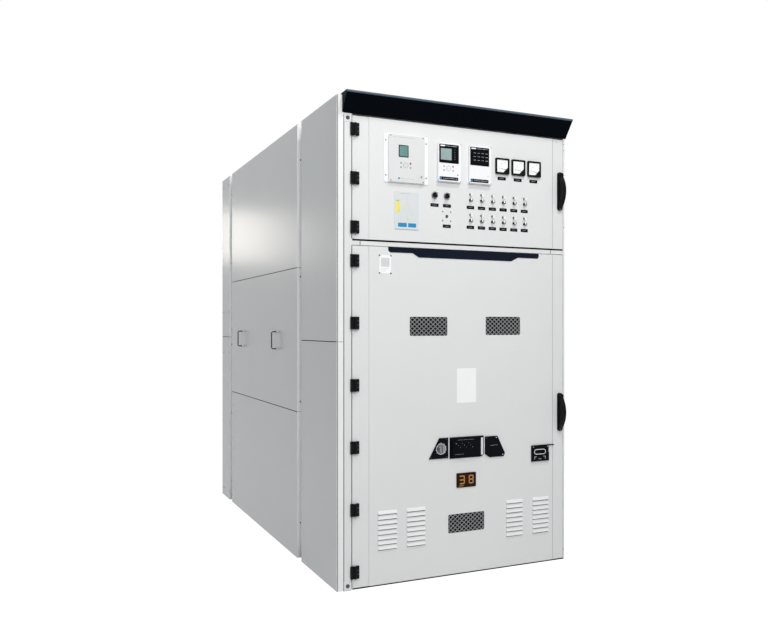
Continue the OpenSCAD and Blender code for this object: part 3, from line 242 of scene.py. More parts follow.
M["foam"] = surface("filter_foam", (0.0060, 0.0060, 0.0065), 0.9, vary=0.4, cloud=260,
                    grain=2200, bump=0.4, edge=0, spec=0.05)
M["dark_metal"] = surface("dark_metal", (0.080, 0.082, 0.088), 0.36, metallic=0.6, vary=0.1,
                          cloud=30, grain=900, bump=0.08, edge=0.0005)
M["knob"] = surface("knob_metal", (0.235, 0.240, 0.250), 0.30, metallic=1.0, vary=0.15,
                    cloud=30, grain=900, bump=0.08, edge=0.0006)
M["mesh_wire"] = surface("mesh_wire", (0.250, 0.255, 0.258), 0.40, vary=0.08, cloud=60,
                         grain=1500, bump=0.1, edge=0.0006)
# A paler copy of the grey paint for faces the lamps strike hard: painted highlight on the louvres
# and on the folded front edges of the side bays.
M["painted_highlight_white"] = surface("painted_highlight_paint", (0.82, 0.83, 0.83), 0.38, vary=0.01, cloud=4,
                          grain=1100, bump=0.06, edge=0.0008)
# Paler blue for the header's rounded nose: painted highlight.
M["nose_highlight_blue"] = surface("header_nose_highlight", (0.064, 0.092, 0.126), 0.35, vary=0.12, cloud=3,
                    grain=700, bump=0.05, edge=0, spec=0.3)
M["plinth"] = surface("plinth_grey", (0.060, 0.062, 0.066), 0.55, vary=0.08, cloud=3,
                      grain=1200, bump=0.12, edge=0.001, spec=0.3)
M["relay"] = surface("relay_shell", (0.85, 0.86, 0.87), 0.38, vary=0.01, cloud=8,
                     grain=1800, bump=0.08, edge=0.0012)
M["relay_face"] = surface("relay_face", (0.685, 0.692, 0.690), 0.45, vary=0.01, cloud=10,
                          grain=1500, bump=0.06, edge=0)
M["white"] = surface("white_card", (0.92, 0.92, 0.92), 0.38, vary=0.01, cloud=10,
                     grain=600, bump=0.03, edge=0)
M["link"] = surface("link_plastic", (0.86, 0.86, 0.84), 0.33, vary=0.02, cloud=30,
                    grain=1500, bump=0.06, edge=0.0007)
M["card"] = surface("grey_card", (0.655, 0.690, 0.695), 0.40, vary=0.01, cloud=10, edge=0)
M["yellow"] = surface("yellow_print", (0.86, 0.74, 0.07), 0.4, vary=0.03, cloud=30, edge=0)
M["cyan"] = surface("blue_print", (0.008, 0.235, 0.48), 0.4, vary=0.03, cloud=30, edge=0)
# Grey for print, and for the painted shadow lines at the door steps and under the mimic card.
M["print"] = surface("grey_print_and_shadow", (0.30, 0.31, 0.32), 0.5, vary=0.05, cloud=40, edge=0)
# Dark grey for real seams, and for the painted shadows under the louvres.
M["seam"] = surface("seam_and_shadow_grey", (0.085, 0.088, 0.092), 0.5, vary=0.05, cloud=10, edge=0)
M["pale_print"] = surface("pale_print", (0.62, 0.63, 0.64), 0.5, vary=0.05, cloud=40, edge=0)
M["red"] = surface("red_key", (0.62, 0.02, 0.03), 0.3, vary=0.05, cloud=40, edge=0.0004)
M["green"] = surface("green_key", (0.02, 0.36, 0.08), 0.3, vary=0.05, cloud=40, edge=0.0004)
M["lcd"] = glow("teal_screen", (0.095, 0.235, 0.215), 0.12)
M["lcd_grey"] = glow("grey_screen", (0.26, 0.35, 0.345), 0.12)
M["amber"] = glow("amber_segment", (0.46, 0.225, 0.050), 0.12)
M["smoke"] = surface("smoked_window", (0.022, 0.0075, 0.0025), 0.22, vary=0.3, cloud=30,
                     grain=200, bump=0.01, edge=0.001, rough_vary=0.02, spec=0.06)
M["zinc"] = spangle("zinc_sheet", (0.62, 0.64, 0.66))
M["steel"] = surface("machined_steel", (0.56, 0.57, 0.59), 0.30, metallic=1.0, vary=0.05,
                     cloud=6, grain=260, bump=0.10, stretch=(1, 1, 12), edge=0.0006)
M["chrome"] = surface("chrome_ring", (0.80, 0.81, 0.83), 0.12, metallic=1.0, vary=0.03,
                      cloud=10, grain=300, bump=0.02, edge=0.0006, rough_vary=0.04)
M["copper"] = surface("copper_bar", (0.72, 0.36, 0.20), 0.32, metallic=1.0, vary=0.16,
                      cloud=7, grain=220, bump=0.10, stretch=(1, 1, 8), edge=0.001)
M["silver"] = surface("silver_plate", (0.78, 0.77, 0.73), 0.28, metallic=1.0, vary=0.08,
                      cloud=20, grain=300, bump=0.08, edge=0.0008)
M["resin"] = surface("cast_resin", (0.300, 0.085, 0.050), 0.24, vary=0.07, cloud=5,
                     grain=120, bump=0.05, coat=0.35, edge=0.003)
M["shed"] = surface("silicone_shed", (0.40, 0.42, 0.43), 0.50, vary=0.04, cloud=8,
                    grain=500, bump=0.06, edge=0.002)
M["duct"] = surface("duct_plastic", (0.42, 0.44, 0.46), 0.5, vary=0.03, cloud=10, edge=0.001)
M["terminal"] = surface("terminal_beige", (0.60, 0.57, 0.48), 0.45, vary=0.06, cloud=60,
                        edge=0.0005)

# Finish of each node of the CAD model
CAD_LOOK = {
    "door": ["frame", "main_door", "lv_door", "mechanism_box"],
    "mesh_wire": ["door_vents"],
    "cover": ["end_covers", "access_panel", "rear_covers", "flap_breaker", "flap_bus",
              "flap_cable"],
    "header": ["header_canopy"],
    "plinth": ["base_frame"],
    "zinc": ["roof_plate", "side_walls", "partitions", "shutter_upper",
             "shutter_lower", "truck_chassis", "truck_beam"],
    "resin": ["spouts", "current_transformers", "pole_columns"],
    "shed": ["arresters_insulators"],
    "copper": ["busbars", "earth_bar", "earth_blades"],
    "silver": ["contact_arms"],
    "steel": ["earth_switch_frame", "cabinet_rails", "wheels_front", "wheels_rear",
              "racking_screw", "lock_rod_upper", "lock_rod_lower"],
    "knob": ["lock_knob"],
    "black": ["fixed_hinges", "main_door_fittings", "main_handle", "lv_handle"],
    "gloss_black": ["operating_panel", "racking_flap", "earth_slide"],
    "plastic": ["lv_door_fittings", "meters", "selector_1", "selector_2"],
    "relay": ["relays"],
    "link": ["link_%d" % i for i in range(1, 13)],
}
for look, names in CAD_LOOK.items():
    for n in names:
        for s in nodes[n].material_slots:
            s.material = M[look]


# Builder of pieces
SHARP = math.radians(35)       # edges of turned pieces over this angle stay sharp


class Piece:
    """One mesh with several finishes; all sizes in millimetres of the row frame."""

    def __init__(self, name, body, slot):
        self.name, self.body, self.slot = name, body, slot
        self.bm = bmesh.new()
        self.looks = []

    def _look(self, look):
        """Number of a finish in this piece's own list."""
        if look not in self.looks:
            self.looks.append(look)
        return self.looks.index(look)

    def _take(self, tmp, look, smooth=False):
        """Adds the faces of tmp to the piece with one finish."""
        i = self._look(look)
        for f in tmp.faces:
            f.material_index = i
            f.smooth = smooth
        me = bpy.data.meshes.new("tmp")
        tmp.to_mesh(me)
        tmp.free()
        self.bm.from_mesh(me)
        bpy.data.meshes.remove(me)

    def plate(self, pts, y0, y1, look, bevel=0.0):
        """A plate with outline pts in (X, Z); y0 is its front, with eased front edges."""
        t = bmesh.new()
        front = [t.verts.new((x * MM, y0 * MM, z * MM)) for x, z in pts]
        back = [t.verts.new((x * MM, y1 * MM, z * MM)) for x, z in pts]
        face = t.faces.new(front)
        t.faces.new(list(reversed(back)))
        n = len(pts)
        for i in range(n):
            j = (i + 1) % n
            t.faces.new((front[j], front[i], back[i], back[j]))
        bmesh.ops.recalc_face_normals(t, faces=t.faces)
        if bevel:
            bmesh.ops.bevel(t, geom=list(face.edges), offset=bevel * MM, segments=2,
                            affect="EDGES", profile=0.6)
        self._take(t, look)

    def box(self, x0, x1, y0, y1, z0, z1, look, bevel=0.0):
        """A plate with four straight sides."""
        self.plate([(x0, z0), (x1, z0), (x1, z1), (x0, z1)], y0, y1, look, bevel)

    def disc(self, x, z, profile, look, n=32, smooth=True):
        """A turned piece about the Y axis; profile is (radius, y) from front to back."""
        t = bmesh.new()
        turns = [2 * math.pi * k / n for k in range(n)]
        rings = []
        for r, y in profile:
            if r <= 0:
                rings.append([t.verts.new((x * MM, y * MM, z * MM))])
            else:
                rings.append([t.verts.new(((x + r * math.cos(a)) * MM, y * MM,
                                           (z + r * math.sin(a)) * MM)) for a in turns])
        for a, b in zip(rings, rings[1:]):
            for k in range(n):
                j = (k + 1) % n
                if len(a) == 1 and len(b) > 1:
                    t.faces.new((a[0], b[k], b[j]))
                elif len(b) == 1 and len(a) > 1:
                    t.faces.new((a[k], b[0], a[j]))
                elif len(a) > 1:
                    t.faces.new((a[k], b[k], b[j], a[j]))
        bmesh.ops.recalc_face_normals(t, faces=t.faces)
        if smooth:
            for e in t.edges:
                if len(e.link_faces) == 2 and e.calc_face_angle() > SHARP:
                    e.smooth = False
        self._take(t, look, smooth)

    def bar(self, pts, a0, a1, look, upright=False):
        """A bar along X with its outline in (Y, Z), or along Z with its outline in (X, Y)."""
        t = bmesh.new()
        ends = [[t.verts.new((u * MM, v * MM, a * MM) if upright else (a * MM, u * MM, v * MM))
                 for u, v in pts] for a in (a0, a1)]
        n = len(pts)
        for i in range(n):
            j = (i + 1) % n
            t.faces.new((ends[0][i], ends[0][j], ends[1][j], ends[1][i]))
        t.faces.new(ends[0])
        t.faces.new(list(reversed(ends[1])))
        bmesh.ops.recalc_face_normals(t, faces=t.faces)
        self._take(t, look)

    def wire(self, path, r, look, n=14):
        """A round wire through the points of path (X, Y, Z)."""
        t = bmesh.new()
        pts = [Vector(v) for v in path]
        turns = [2 * math.pi * k / n for k in range(n)]
        side = Vector((0, 1, 0))
        rings = []
        for i, v in enumerate(pts):
            d = (pts[min(i + 1, len(pts) - 1)] - pts[max(i - 1, 0)]).normalized()
            up = d.cross(side).normalized()
            rings.append([t.verts.new((v + side * r * math.cos(a) + up * r * math.sin(a)) * MM)
                          for a in turns])
        for a, b in zip(rings, rings[1:]):
            for k in range(n):
                j = (k + 1) % n
                t.faces.new((a[k], a[j], b[j], b[k]))
        bmesh.ops.recalc_face_normals(t, faces=t.faces)
        self._take(t, look, True)

    def screw(self, x, z, y, r=4.0, look="steel", h=2.2):
        """A pan head with a round recess, standing off a face at y."""
        self.disc(x, z, [(0, y - h * 0.72), (r * 0.35, y - h * 0.75), (r * 0.36, y - h),
                         (r * 0.7, y - h * 0.9), (r, y - h * 0.35), (r, y)], look, 16)

    def done(self):
        """Makes the object and hands it to the frame."""
        me = bpy.data.meshes.new(self.name)
        self.bm.to_mesh(me)
        self.bm.free()
        for look in self.looks:
            me.materials.append(M[look])
        ob = bpy.data.objects.new(self.name, me)
        scene.collection.objects.link(ob)
        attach(ob, self.body)


def rounded(cx, cz, w, h, r, n=5):
    """Outline of a rectangle with round corners, from its middle."""
    pts = []
    for qx, qz, a0 in ((1, -1, -90), (1, 1, 0), (-1, 1, 90), (-1, -1, 180)):
        for k in range(n + 1):
            a = math.radians(a0 + 90 * k / n)
            pts.append((cx + qx * (w / 2 - r) + r * math.cos(a),
                        cz + qz * (h / 2 - r) + r * math.sin(a)))
    return pts


def ring(ro, ri, y0, y1):
    """Profile of a flat ring for Piece.disc."""
    return [(ri, y1), (ri, y0 + 0.4), (ri + 0.4, y0), (ro - 0.6, y0), (ro, y0 + 0.6), (ro, y1)]


def heading(degrees):
    """Unit direction in X and Z, turned up from X."""
    a = math.radians(degrees)
    return Vector((math.cos(a), math.sin(a)))


def stroke(a, b, half_a, half_b):
    """Outline of a straight mark from a to b, with its half width at each end."""
    d = (b - a).normalized()
    s = Vector((-d.y, d.x))
    return [tuple(v) for v in (a - s * half_a, b - s * half_b, b + s * half_b, a + s * half_a)]


# Instrument door
def keypad(p, cx, cz, y, r):
    """A ring of four arrow keys, with three small keys and a red one beside it."""
    inner, reach, out = r * 0.42, r * 0.72, r + 13
    p.disc(cx, cz, ring(r, r - 1.8, y - 0.8, y), "print", 40)
    p.disc(cx, cz, ring(inner, inner - 0.8, y - 0.8, y), "pale_print", 24)
    for k in range(4):
        a = math.radians(90 * k)
        p.disc(cx + reach * math.cos(a), cz + reach * math.sin(a),
               [(0, y - 1.0), (1.2, y - 0.9), (1.5, y)], "pale_print", 12)
    for sx, sz in ((-1, 1), (-1, -1), (1, -1)):
        p.disc(cx + sx * out, cz + sz * 11, [(0, y - 1.6), (3.2, y - 1.4), (3.8, y)],
               "dark_metal", 16)
    p.disc(cx + out, cz + 12, [(0, y - 1.8), (4.6, y - 1.6), (5.4, y)], "red", 20)


def dashes(p, x0, x1, z, y, look, step=7.0, h=1.6):
    """A row of short plain marks that stands for small print; it spells nothing."""
    x, k = x0, 0
    while x < x1:
        w = step * (0.5 + 0.12 * (k * 7 % 4))
        p.box(x, min(x + w, x1), y - INK, y + 0.1, z - h / 2, z + h / 2, look)
        x += step
        k += 1


def relay_one():
    """Face of the large relay: plate, screen, keypad and the screws of face and flange."""
    x, z = RELAY_1
    y = FIELD_Y - 14
    face = y - 1.2
    p = Piece("relay_1_face", "lv_door", "relay_grey")
    p.plate(rounded(x, z, 211, 253, 5), face, y, "relay_face", 0.5)
    p.plate(rounded(x - 21, z + 40, 58, 65, 2.5), y - 2.6, y - 1.0, "plastic", 0.5)
    p.plate(rounded(x - 21, z + 40, 49, 56, 1), y - 3.0, y - 2.4, "lcd", 0.2)
    for k in range(3):
        low = z + 22 + k * 15
        p.box(x - 41, x - 20 - 5 * (k % 2), y - 3.2, y - 2.9, low, low + 1.4, "print")
    keypad(p, x - 8, z - 36, face, 15)
    for sx, sz in CORNERS:
        p.screw(x + sx * 96, z + sz * 120, face, 3.2, "dark_metal")
        p.screw(x + sx * 120, z + sz * 94, FIELD_Y - 3, 3.8, "dark_metal")
    dashes(p, x - 84, x + 40, z + 113, face, "print")
    p.plate(rounded(x - 48, z - 108, 11, 9, 2), y - 1.8, y - 1.0, "cyan", 0.2)
    dashes(p, x - 38, x + 46, z - 108, face, "print")
    dashes(p, x + 48, x + 80, z - 92, face, "pale_print")
    p.plate(rounded(x + 86, z - 92, 9, 13, 1), y - 2.4, y - 1.0, "print", 0.4)
    p.done()


def relay_small(name, place, with_screen):
    """Face of a narrow relay, with a screen and keys or with a field of lamps."""
    x, z = place
    y = FIELD_Y - 18
    wx, wz = x - 4, z + 46
    p = Piece(name, "lv_door", "relay_grey")
    p.plate(rounded(wx, wz, 122, 103, 4), y - 1.4, y, "gloss_black", 0.6)
    p.plate(rounded(wx - 40, wz + 43, 28, 7, 1), y - 1.9, y - 1.3, "white", 0.2)
    dashes(p, wx - 20, wx + 52, wz + 43, y - 1.4, "pale_print", 8, 2.2)
    if with_screen:
        screen_and_keys(p, x, z, wx, wz, y)
    else:
        lamp_field(p, x, z, wx, wz, y)
    p.plate(rounded(x - 5, z - 91, 116, 18, 2.5), y - 0.8, y, "gloss_black", 0.3)
    p.plate(rounded(x - 56, z - 91, 12, 12, 2), y - 1.2, y - 0.7, "cyan", 0.2)
    dashes(p, x - 42, x + 46, z - 91, y - 0.8, "pale_print", 9, 2.0)
    for sx, sz in CORNERS:
        p.screw(x + sx * 69, z + sz * 103, y, 2.2, "dark_metal")
    p.done()


def screen_and_keys(p, x, z, wx, wz, y):
    """Grey screen with a column of lamps beside it, and a keypad below."""
    p.plate(rounded(wx - 17, wz - 3, 76, 70, 2), y - 1.9, y - 1.3, "plastic", 0.3)
    p.box(wx - 52, wx + 15, y - 2.3, y - 1.8, wz - 35, wz + 28, "lcd_grey", 0.3)
    for k in range(4):
        low = wz - 26 + k * 13
        p.box(wx - 46, wx - 6 - 9 * (k % 2), y - 2.5, y - 2.2, low, low + 1.4, "print")
    for k in range(5):
        p.disc(wx + 36, wz - 28 + k * 13, [(0, y - 2.2), (1.6, y - 2.0), (1.9, y - 1.3)],
               "green" if k == 4 else "print", 12)
    keypad(p, x - 7, z - 35, y, 15)
    p.plate(rounded(x + 50, z - 68, 8, 8, 1), y - 0.8, y, "print", 0.3)
    dashes(p, x - 2, x + 16, z - 60, y, "pale_print")


def lamp_field(p, x, z, wx, wz, y):
    """Four by three signal lamps, each with a short mark beside it."""
    for i in range(4):
        for j in range(3):
            cx, cz = wx - 40 + i * 26, wz - 22 + j * 20
            p.disc(cx, cz, [(0, y - 2.3), (1.5, y - 2.1), (1.8, y - 1.3)],
                   "red" if (i, j) == (0, 2) else "print", 12)
            p.box(cx + 4, cx + 14, y - 1.7, y - 1.3, cz - 0.8, cz + 0.8, "pale_print")
    p.plate(rounded(x + 50, z - 62, 8, 6, 1), y - 0.8, y, "pale_print", 0.3)


def meter(i):
    """Dial of a panel meter: card with a cut corner, eleven divisions and a needle."""
    x, z, y = METER_X[i], METER_Z, FIELD_Y - 8
    half, cut, needle = 35, 29, 44
    p = Piece("meter_%d_dial" % (i + 1), "lv_door", "black_plastic")
    p.plate([(x - half, z - half), (x + half - cut, z - half), (x + half, z - half + cut),
             (x + half, z + half), (x - half, z + half)], y - 0.5, y, "white", 0.2)
    pivot = Vector((x + 20, z - 20))
    for k in range(11):
        long_mark = k % 5 == 0
        r0, r1, w = (38, 46, 0.9) if long_mark else (41, 45, 0.5)
        d = heading(93 + 84 * k / 10)
        p.plate(stroke(pivot + d * r0, pivot + d * r1, w, w), y - 0.7, y - 0.45, "print")
    p.plate(stroke(pivot, pivot + heading(168) * needle, 1.2, 0.3), y - 0.95, y - 0.65, "plastic")
    p.done()


def label(p, cx, cz, w=48):
    """A black label plate on a door, with a row of plain dashes."""
    front = FIELD_Y - 1.2
    p.plate(rounded(cx, cz, w, 18, 2), front, FIELD_Y, "gloss_black", 0.4)
    dashes(p, cx - w * 0.26, cx + w * 0.26, cz, front, "print", 6, 2.4)


def instrument_labels():
    """Label plates under the meters, selectors and socket, and by both rows of links."""
    p = Piece("instrument_labels", "lv_door", "black_plastic")
    for x in METER_X:
        label(p, x - 1, METER_Z - 71, 54)
    for (x, z), shift in zip(SELECTORS, (0, 2)):
        label(p, x + shift, z - 54, 50)
    label(p, SOCKET[0], SOCKET[1] - 55, 50)
    for x in LINK_X:
        label(p, x, 2058.5)
        label(p, x, 1947)
    p.done()


def selectors():
    """Rings round the selectors, and a white mark on each knob that turns with it."""
    p = Piece("selector_rings", "lv_door", "steel")
    seat = FIELD_Y - 2.9
    for x, z in SELECTORS:
        p.disc(x, z, ring(18.5, 16.6, FIELD_Y - 6.3, seat), "dark_metal", 40)
        p.disc(x, z, ring(16.6, 14.6, FIELD_Y - 5.7, seat), "silver", 40)
    p.done()
    knob_face = FIELD_Y - 23.9
    d = heading(45)
    for i, place in enumerate(SELECTORS):
        name = "selector_%d" % (i + 1)
        c = Vector(place)
        q = Piece(name + "_mark", name, "link_white")
        q.plate(stroke(c + d * 3, c + d * 13, 0.8, 0.8), knob_face - 0.6, knob_face, "white")
        q.done()


def test_socket():
    """Dark mouth of the small socket, and the four screws round it."""
    x, z = SOCKET
    p = Piece("test_socket", "lv_door", "black_plastic")
    p.disc(x, z, [(3.0, FIELD_Y - 1.0), (3.0, FIELD_Y - 4.0), (6.2, FIELD_Y - 4.2),
                  (7.4, FIELD_Y - 3.2), (8.0, FIELD_Y)], "plastic", 24)
    for sx, sz in CORNERS:
        p.screw(x + sx * 25, z + sz * 25, FIELD_Y, 3.6, "black")
    p.done()


def mimic_card():
    """Grey card with a mimic line: breaker square, earth branch and transformer rings, and a dark
    line along its lower edge as painted shadow.
    """
    x0, x1, z0, z1 = -409, -267, 1913, 2118
    y = FIELD_Y - 1.6
    p = Piece("mimic_card", "lv_door", "link_white")

    def mark(xa, xb, za, zb, look, height=0.4):
        p.box(xa, xb, y - height, y + 0.1, za, zb, look)

    p.plate(rounded((x0 + x1) / 2, (z0 + z1) / 2, x1 - x0, z1 - z0, 3), y, FIELD_Y, "card", 0.4)
    # Painted shadow: a dark line along the card's lower edge.
    mark(x0 + 1, x1 - 1, z0, z0 + 2.2, "print", INK)
    mark(x0, x0 + 1.4, z0, z1 - 2, "pale_print", INK)
    mark(x1 - 1.4, x1, z0, z1 - 2, "pale_print", INK)
    mark(x0 + 10, x0 + 31, z0 + 90, z0 + 153, "yellow")
    mark(x0 + 10, x0 + 26, z0 + 153, z0 + 158, "print")
    dashes(p, x0 + 34, x0 + 96, z1 - 10, y, "print", 8)
    for a, b in ((x0 + 20, x0 + 72), (x0 + 80, x0 + 128)):
        mark(a, b, z0 + 14, z0 + 36, "cyan")
    cx = x0 + 75
    low, high = z0 + 109, z0 + 138.6
    mark(cx - 0.8, cx + 0.8, z0 + 139, z0 + 187, "pale_print")
    mark(cx - 0.8, cx + 0.8, z0 + 49, low, "pale_print")
    mark(cx - 11, cx + 11, high - 1.6, high, "yellow")
    mark(cx - 11, cx + 11, low, low + 1.6, "yellow")
    mark(cx - 11, cx - 9.4, low, high, "yellow")
    mark(cx + 9.4, cx + 11, low, high, "yellow")
    branch = z0 + 86.7
    mark(cx, cx + 30, branch - 0.7, branch + 0.7, "pale_print")
    for k in range(3):
        w = 8 - 2.4 * k
        at = cx + 30 + 3 * k
        mark(at, at + 1.4, branch - w, branch + w, "pale_print")
    for z in (z0 + 53, z0 + 61):
        p.disc(cx, z, ring(7, 5.8, y - 0.4, y + 0.1), "yellow", 24)
    p.done()


# Main door
def name_board():
    """The long board under the door's top edge: full at the ends, dipped between them."""
    x0, x1, dip0, dip1 = -446, 516, -265, 327
    top, foot, dip, corner = MAIN_DOOR_Z[1], 1787, 1765, 10
    front = FIELD_Y - 2.4
    p = Piece("name_board", "main_door", "header_paint")
    p.plate([(x0 + corner, foot), (dip0 - 36, foot), (dip0, dip), (dip1, dip), (dip1 + 44, foot),
             (x1 - corner, foot), (x1, foot + corner), (x1, top), (x0, top), (x0, foot + corner)],
            front, FIELD_Y, "navy", 0.7)
    for x in (-420, -150, 200, 490):
        p.screw(x, top - 14, front, 3.0, "black", 1.4)
    p.done()


def door_sticker():
    """A small white plate held by four screws, its square print left plain."""
    x, z = STICKER
    ink = FIELD_Y - 1.1
    p = Piece("door_sticker", "main_door", "link_white")
    p.box(x - 34, x + 34, FIELD_Y - 0.8, FIELD_Y, z - 49, z + 49, "white", 0.3)
    p.box(x - 25, x + 25, ink, ink + 0.4, z - 13, z + 35, "pale_print", 0.1)
    for k in range(3):
        low = z - 24 - 7 * k
        p.box(x - 25, x + 22 - 9 * k, ink, ink + 0.4, low, low + 2, "pale_print")
    for sx, sz in CORNERS:
        p.screw(x + sx * 33, z + sz * 47, FIELD_Y, 4.2, "black", 2.6)
    p.done()


def blank_card():
    """The white card in the middle of the door, left bare."""
    p = Piece("blank_card", "main_door", "link_white")
    p.plate(rounded(*CARD, 123, 193, 2), FIELD_Y - 0.9, FIELD_Y, "white", 0.3)
    p.done()


def louvre_painted_light():
    """Paler paint on the pressed faces of the louvres as their painted highlight, and a dark strip
    under each as its painted shadow.
    """
    count, pitch, width, out, skin = 8, 26.8, 111, 7, 0.2
    p = Piece("louvre_painted_highlights", "main_door", "door_paint")
    q = Piece("louvre_painted_shadows", "main_door", "black_plastic")
    lip = FIELD_Y - out
    for x, z0 in LOUVRES:
        for k in range(count):
            z = z0 + pitch * k
            # Painted highlight: a paler skin over the sloping face of each louvre.
            p.bar([(FIELD_Y, z + 19 + skin), (lip - skin, z + 3.1), (lip - skin, z + 0.2),
                   (lip, z + 0.2), (lip, z + 3), (FIELD_Y, z + 19)],
                  x + 0.5, x + width - 0.5, "painted_highlight_white")
            # Painted shadow: a dark strip on the door under each louvre's lip.
            q.box(x + 1, x + width - 1, FIELD_Y - INK, FIELD_Y, z - 4.8, z - 0.2, "seam")
    p.done()
    q.done()


def vent_filters():
    """A foam pad behind each vent's mesh."""
    p = Piece("vent_filters", "main_door", "black_plastic")
    back = limit("door_vents", HIGH, Y)
    for x, z in VENTS:
        p.plate(rounded(x, z, 245, 117, 4), back + 0.3, back + 8, "foam", 1.0)
    p.done()


def operating_marks():
    """Ring and scale round the knob, the pale strip and the screws of the black plates."""
    y = FIELD_Y - 6
    knob_x, knob_z = KNOB
    knob = Vector(KNOB)
    p = Piece("operating_marks", "main_door", "black_plate")
    p.disc(knob_x, knob_z, ring(30.5, 26.5, y - 1.0, y), "steel", 48)
    for k in range(9):
        d = heading(-40 + 260 * k / 8)
        tick = stroke(knob + d * 32, knob + d * 36, 0.7, 0.7)
        if all(x < knob_x + 42 for x, z in tick):
            p.plate(tick, y - 0.5, y, "pale_print")
    for x, z in ((-192, 665), (-96, 665), (-96, 763), (160, 755)):
        p.screw(x, z, y, 3.0 if x < 0 else 3.2, "dark_metal")
    p.plate(rounded(129, knob_z + 1, 13, 98, 3), y - 2.2, y, "door", 0.8)
    for x, z in ((267, 656), (224, 755)):
        p.screw(x, z, y, 3.2, "steel")
    dashes(p, 186, 230, knob_z + 1, y, "print", 7, 2.4)
    p.done()


def racking_flap_marks():
    """Plain dots and dashes on the racking flap."""
    f = limit("racking_flap", LOW, Y)
    p = Piece("racking_flap_marks", "racking_flap", "black_plate")
    for k in range(9):
        p.disc(-40 + 13 * k, 736 - 11 * (k % 3), [(0, f - 0.7), (1.3, f - 0.6), (1.5, f)],
               "print" if k % 4 else "pale_print", 10)
    dashes(p, -30, 70, 756, f, "print", 8)
    dashes(p, -48, 6, 676, f, "print", 8)
    p.done()


def slide_marks():
    """White oval line on the earthing slide, with plain marks and two screws."""
    x, z = SLIDE
    f = limit("earth_slide", LOW, Y)
    p = Piece("earth_slide_marks", "earth_slide", "black_plate")
    outer = rounded(x, z, 80, 30, 14.9, 8)
    inner = rounded(x, z, 74, 24, 11.9, 8)
    n = len(outer)
    for i in range(n):
        j = (i + 1) % n
        p.plate([outer[i], outer[j], inner[j], inner[i]], f - 0.6, f, "white")
    for s in SIDES:
        at = x + s * 37
        p.box(at - 1.2, at + 1.2, f - 0.6, f, z - 43, z - 27, "pale_print")
        a, b = sorted((at, x + s * 24))
        p.box(a, b, f - 0.6, f, z - 29, z - 27, "pale_print")
    dashes(p, x - 10, x + 11, z - 42, f, "pale_print", 7, 3)
    for screw_x in (x - 45, x + 53):
        p.screw(screw_x, z + 29, f, 2.6, "steel", 1.4)
    p.done()


# Ends of the seven segments of a digit, as shares of its width and height
SEGMENTS = ((0, 1, 1, 1), (1, 1, 1, 0.5), (1, 0.5, 1, 0), (0, 0, 1, 0), (0, 0.5, 0, 0),
            (0, 1, 0, 0.5), (0, 0.5, 1, 0.5))


def amber_display():
    """Smoked window with two amber digits, a plain 38, and a short bar under them."""
    cx, cz = DISPLAY
    y = FIELD_Y - 5.0
    three, eight = (0, 1, 2, 3, 6), range(7)
    w, h, t = 25, 42, 3.2
    foot = cz - 19
    p = Piece("voltage_display", "main_door", "black_plastic")
    p.plate(rounded(cx, cz, 124, 81, 6), y, FIELD_Y, "smoke", 1.0)
    for left, lit in ((cx - 26 - w / 2, three), (cx + 30 - w / 2, eight)):
        for k in lit:
            ax, az, bx, bz = SEGMENTS[k]
            xa, xb = sorted((left + ax * w, left + bx * w))
            za, zb = sorted((foot + az * h, foot + bz * h))
            p.box(xa - t, xb + t, y - 0.5, y + 0.1, za - t, zb + t, "amber", 0.1)
    p.box(cx - 48, cx - 18, y - 0.5, y + 0.1, cz - 33, cz - 30, "amber", 0.1)
    p.done()


# Hinges, handles and posts
def hinge_screws():
    """Two screws in each leaf of each hinge; the door's leaf has them closer together."""
    post_x, leaf_x = -655, -622
    fixed = Piece("hinge_screws_post", "cabinet", "steel")
    lv = Piece("hinge_screws_lv", "lv_door", "steel")
    main = Piece("hinge_screws_main", "main_door", "steel")
    lv_z = [2427, 2170, 1912]
    main_z = [94 + i * (1735 - 94) / 5 for i in range(6)]
    for moving, places in ((lv, lv_z), (main, main_z)):
        for z in places:
            for side in SIDES:
                fixed.screw(post_x, z + side * 20, POST_Y - 12, 3.6, "black", 1.2)
                moving.screw(leaf_x, z + side * 11, POST_Y - 10, 3.0, "dark_metal", 1.2)
    for p in (fixed, lv, main):
        p.done()


def handle_locks():
    """Lock cylinder with its key slot, below the grip of each swing handle."""
    x, below = 664, 105.6
    y = DOOR_Y - 12
    for body, node, spindle in (("main_door", "main_handle", 881), ("lv_door", "lv_handle", 2192)):
        z = spindle - below
        p = Piece(node + "_lock", body, "steel")
        p.disc(x, z, [(0, y - 1.0), (4.6, y - 1.0), (5.2, y - 0.6), (5.4, y)], "dark_metal", 28)
        p.box(x - 0.6, x + 0.6, y - 1.4, y - 0.9, z - 3.4, z + 3.4, "plastic")
        p.done()


def post_gussets():
    """Corner plates with hexagon bolts on the left post, and rivets on the right one."""
    p = Piece("post_gussets", "cabinet", "door_paint")
    for z0, z1, zb in ((2, 50, 26), (2463, 2505, 2484)):
        p.plate([(-698, z0), (-655, z0), (-655, z1 - 8), (-663, z1), (-698, z1)],
                POST_Y - 2, POST_Y, "door", 0.5)
        p.disc(-677, zb, [(0, POST_Y - 6.4), (6.6, POST_Y - 6.4), (7.6, POST_Y - 5.2),
                          (7.6, POST_Y - 2)], "dark_metal", 6, False)
        p.disc(-677, zb, ring(11, 7.0, POST_Y - 3.4, POST_Y - 2), "dark_metal", 28)
    for z in (2474, 2440, 1980, 60):
        p.disc(695, z, [(0, POST_Y - 0.8), (2.2, POST_Y - 0.8), (2.6, POST_Y)], "black", 12)
    p.done()


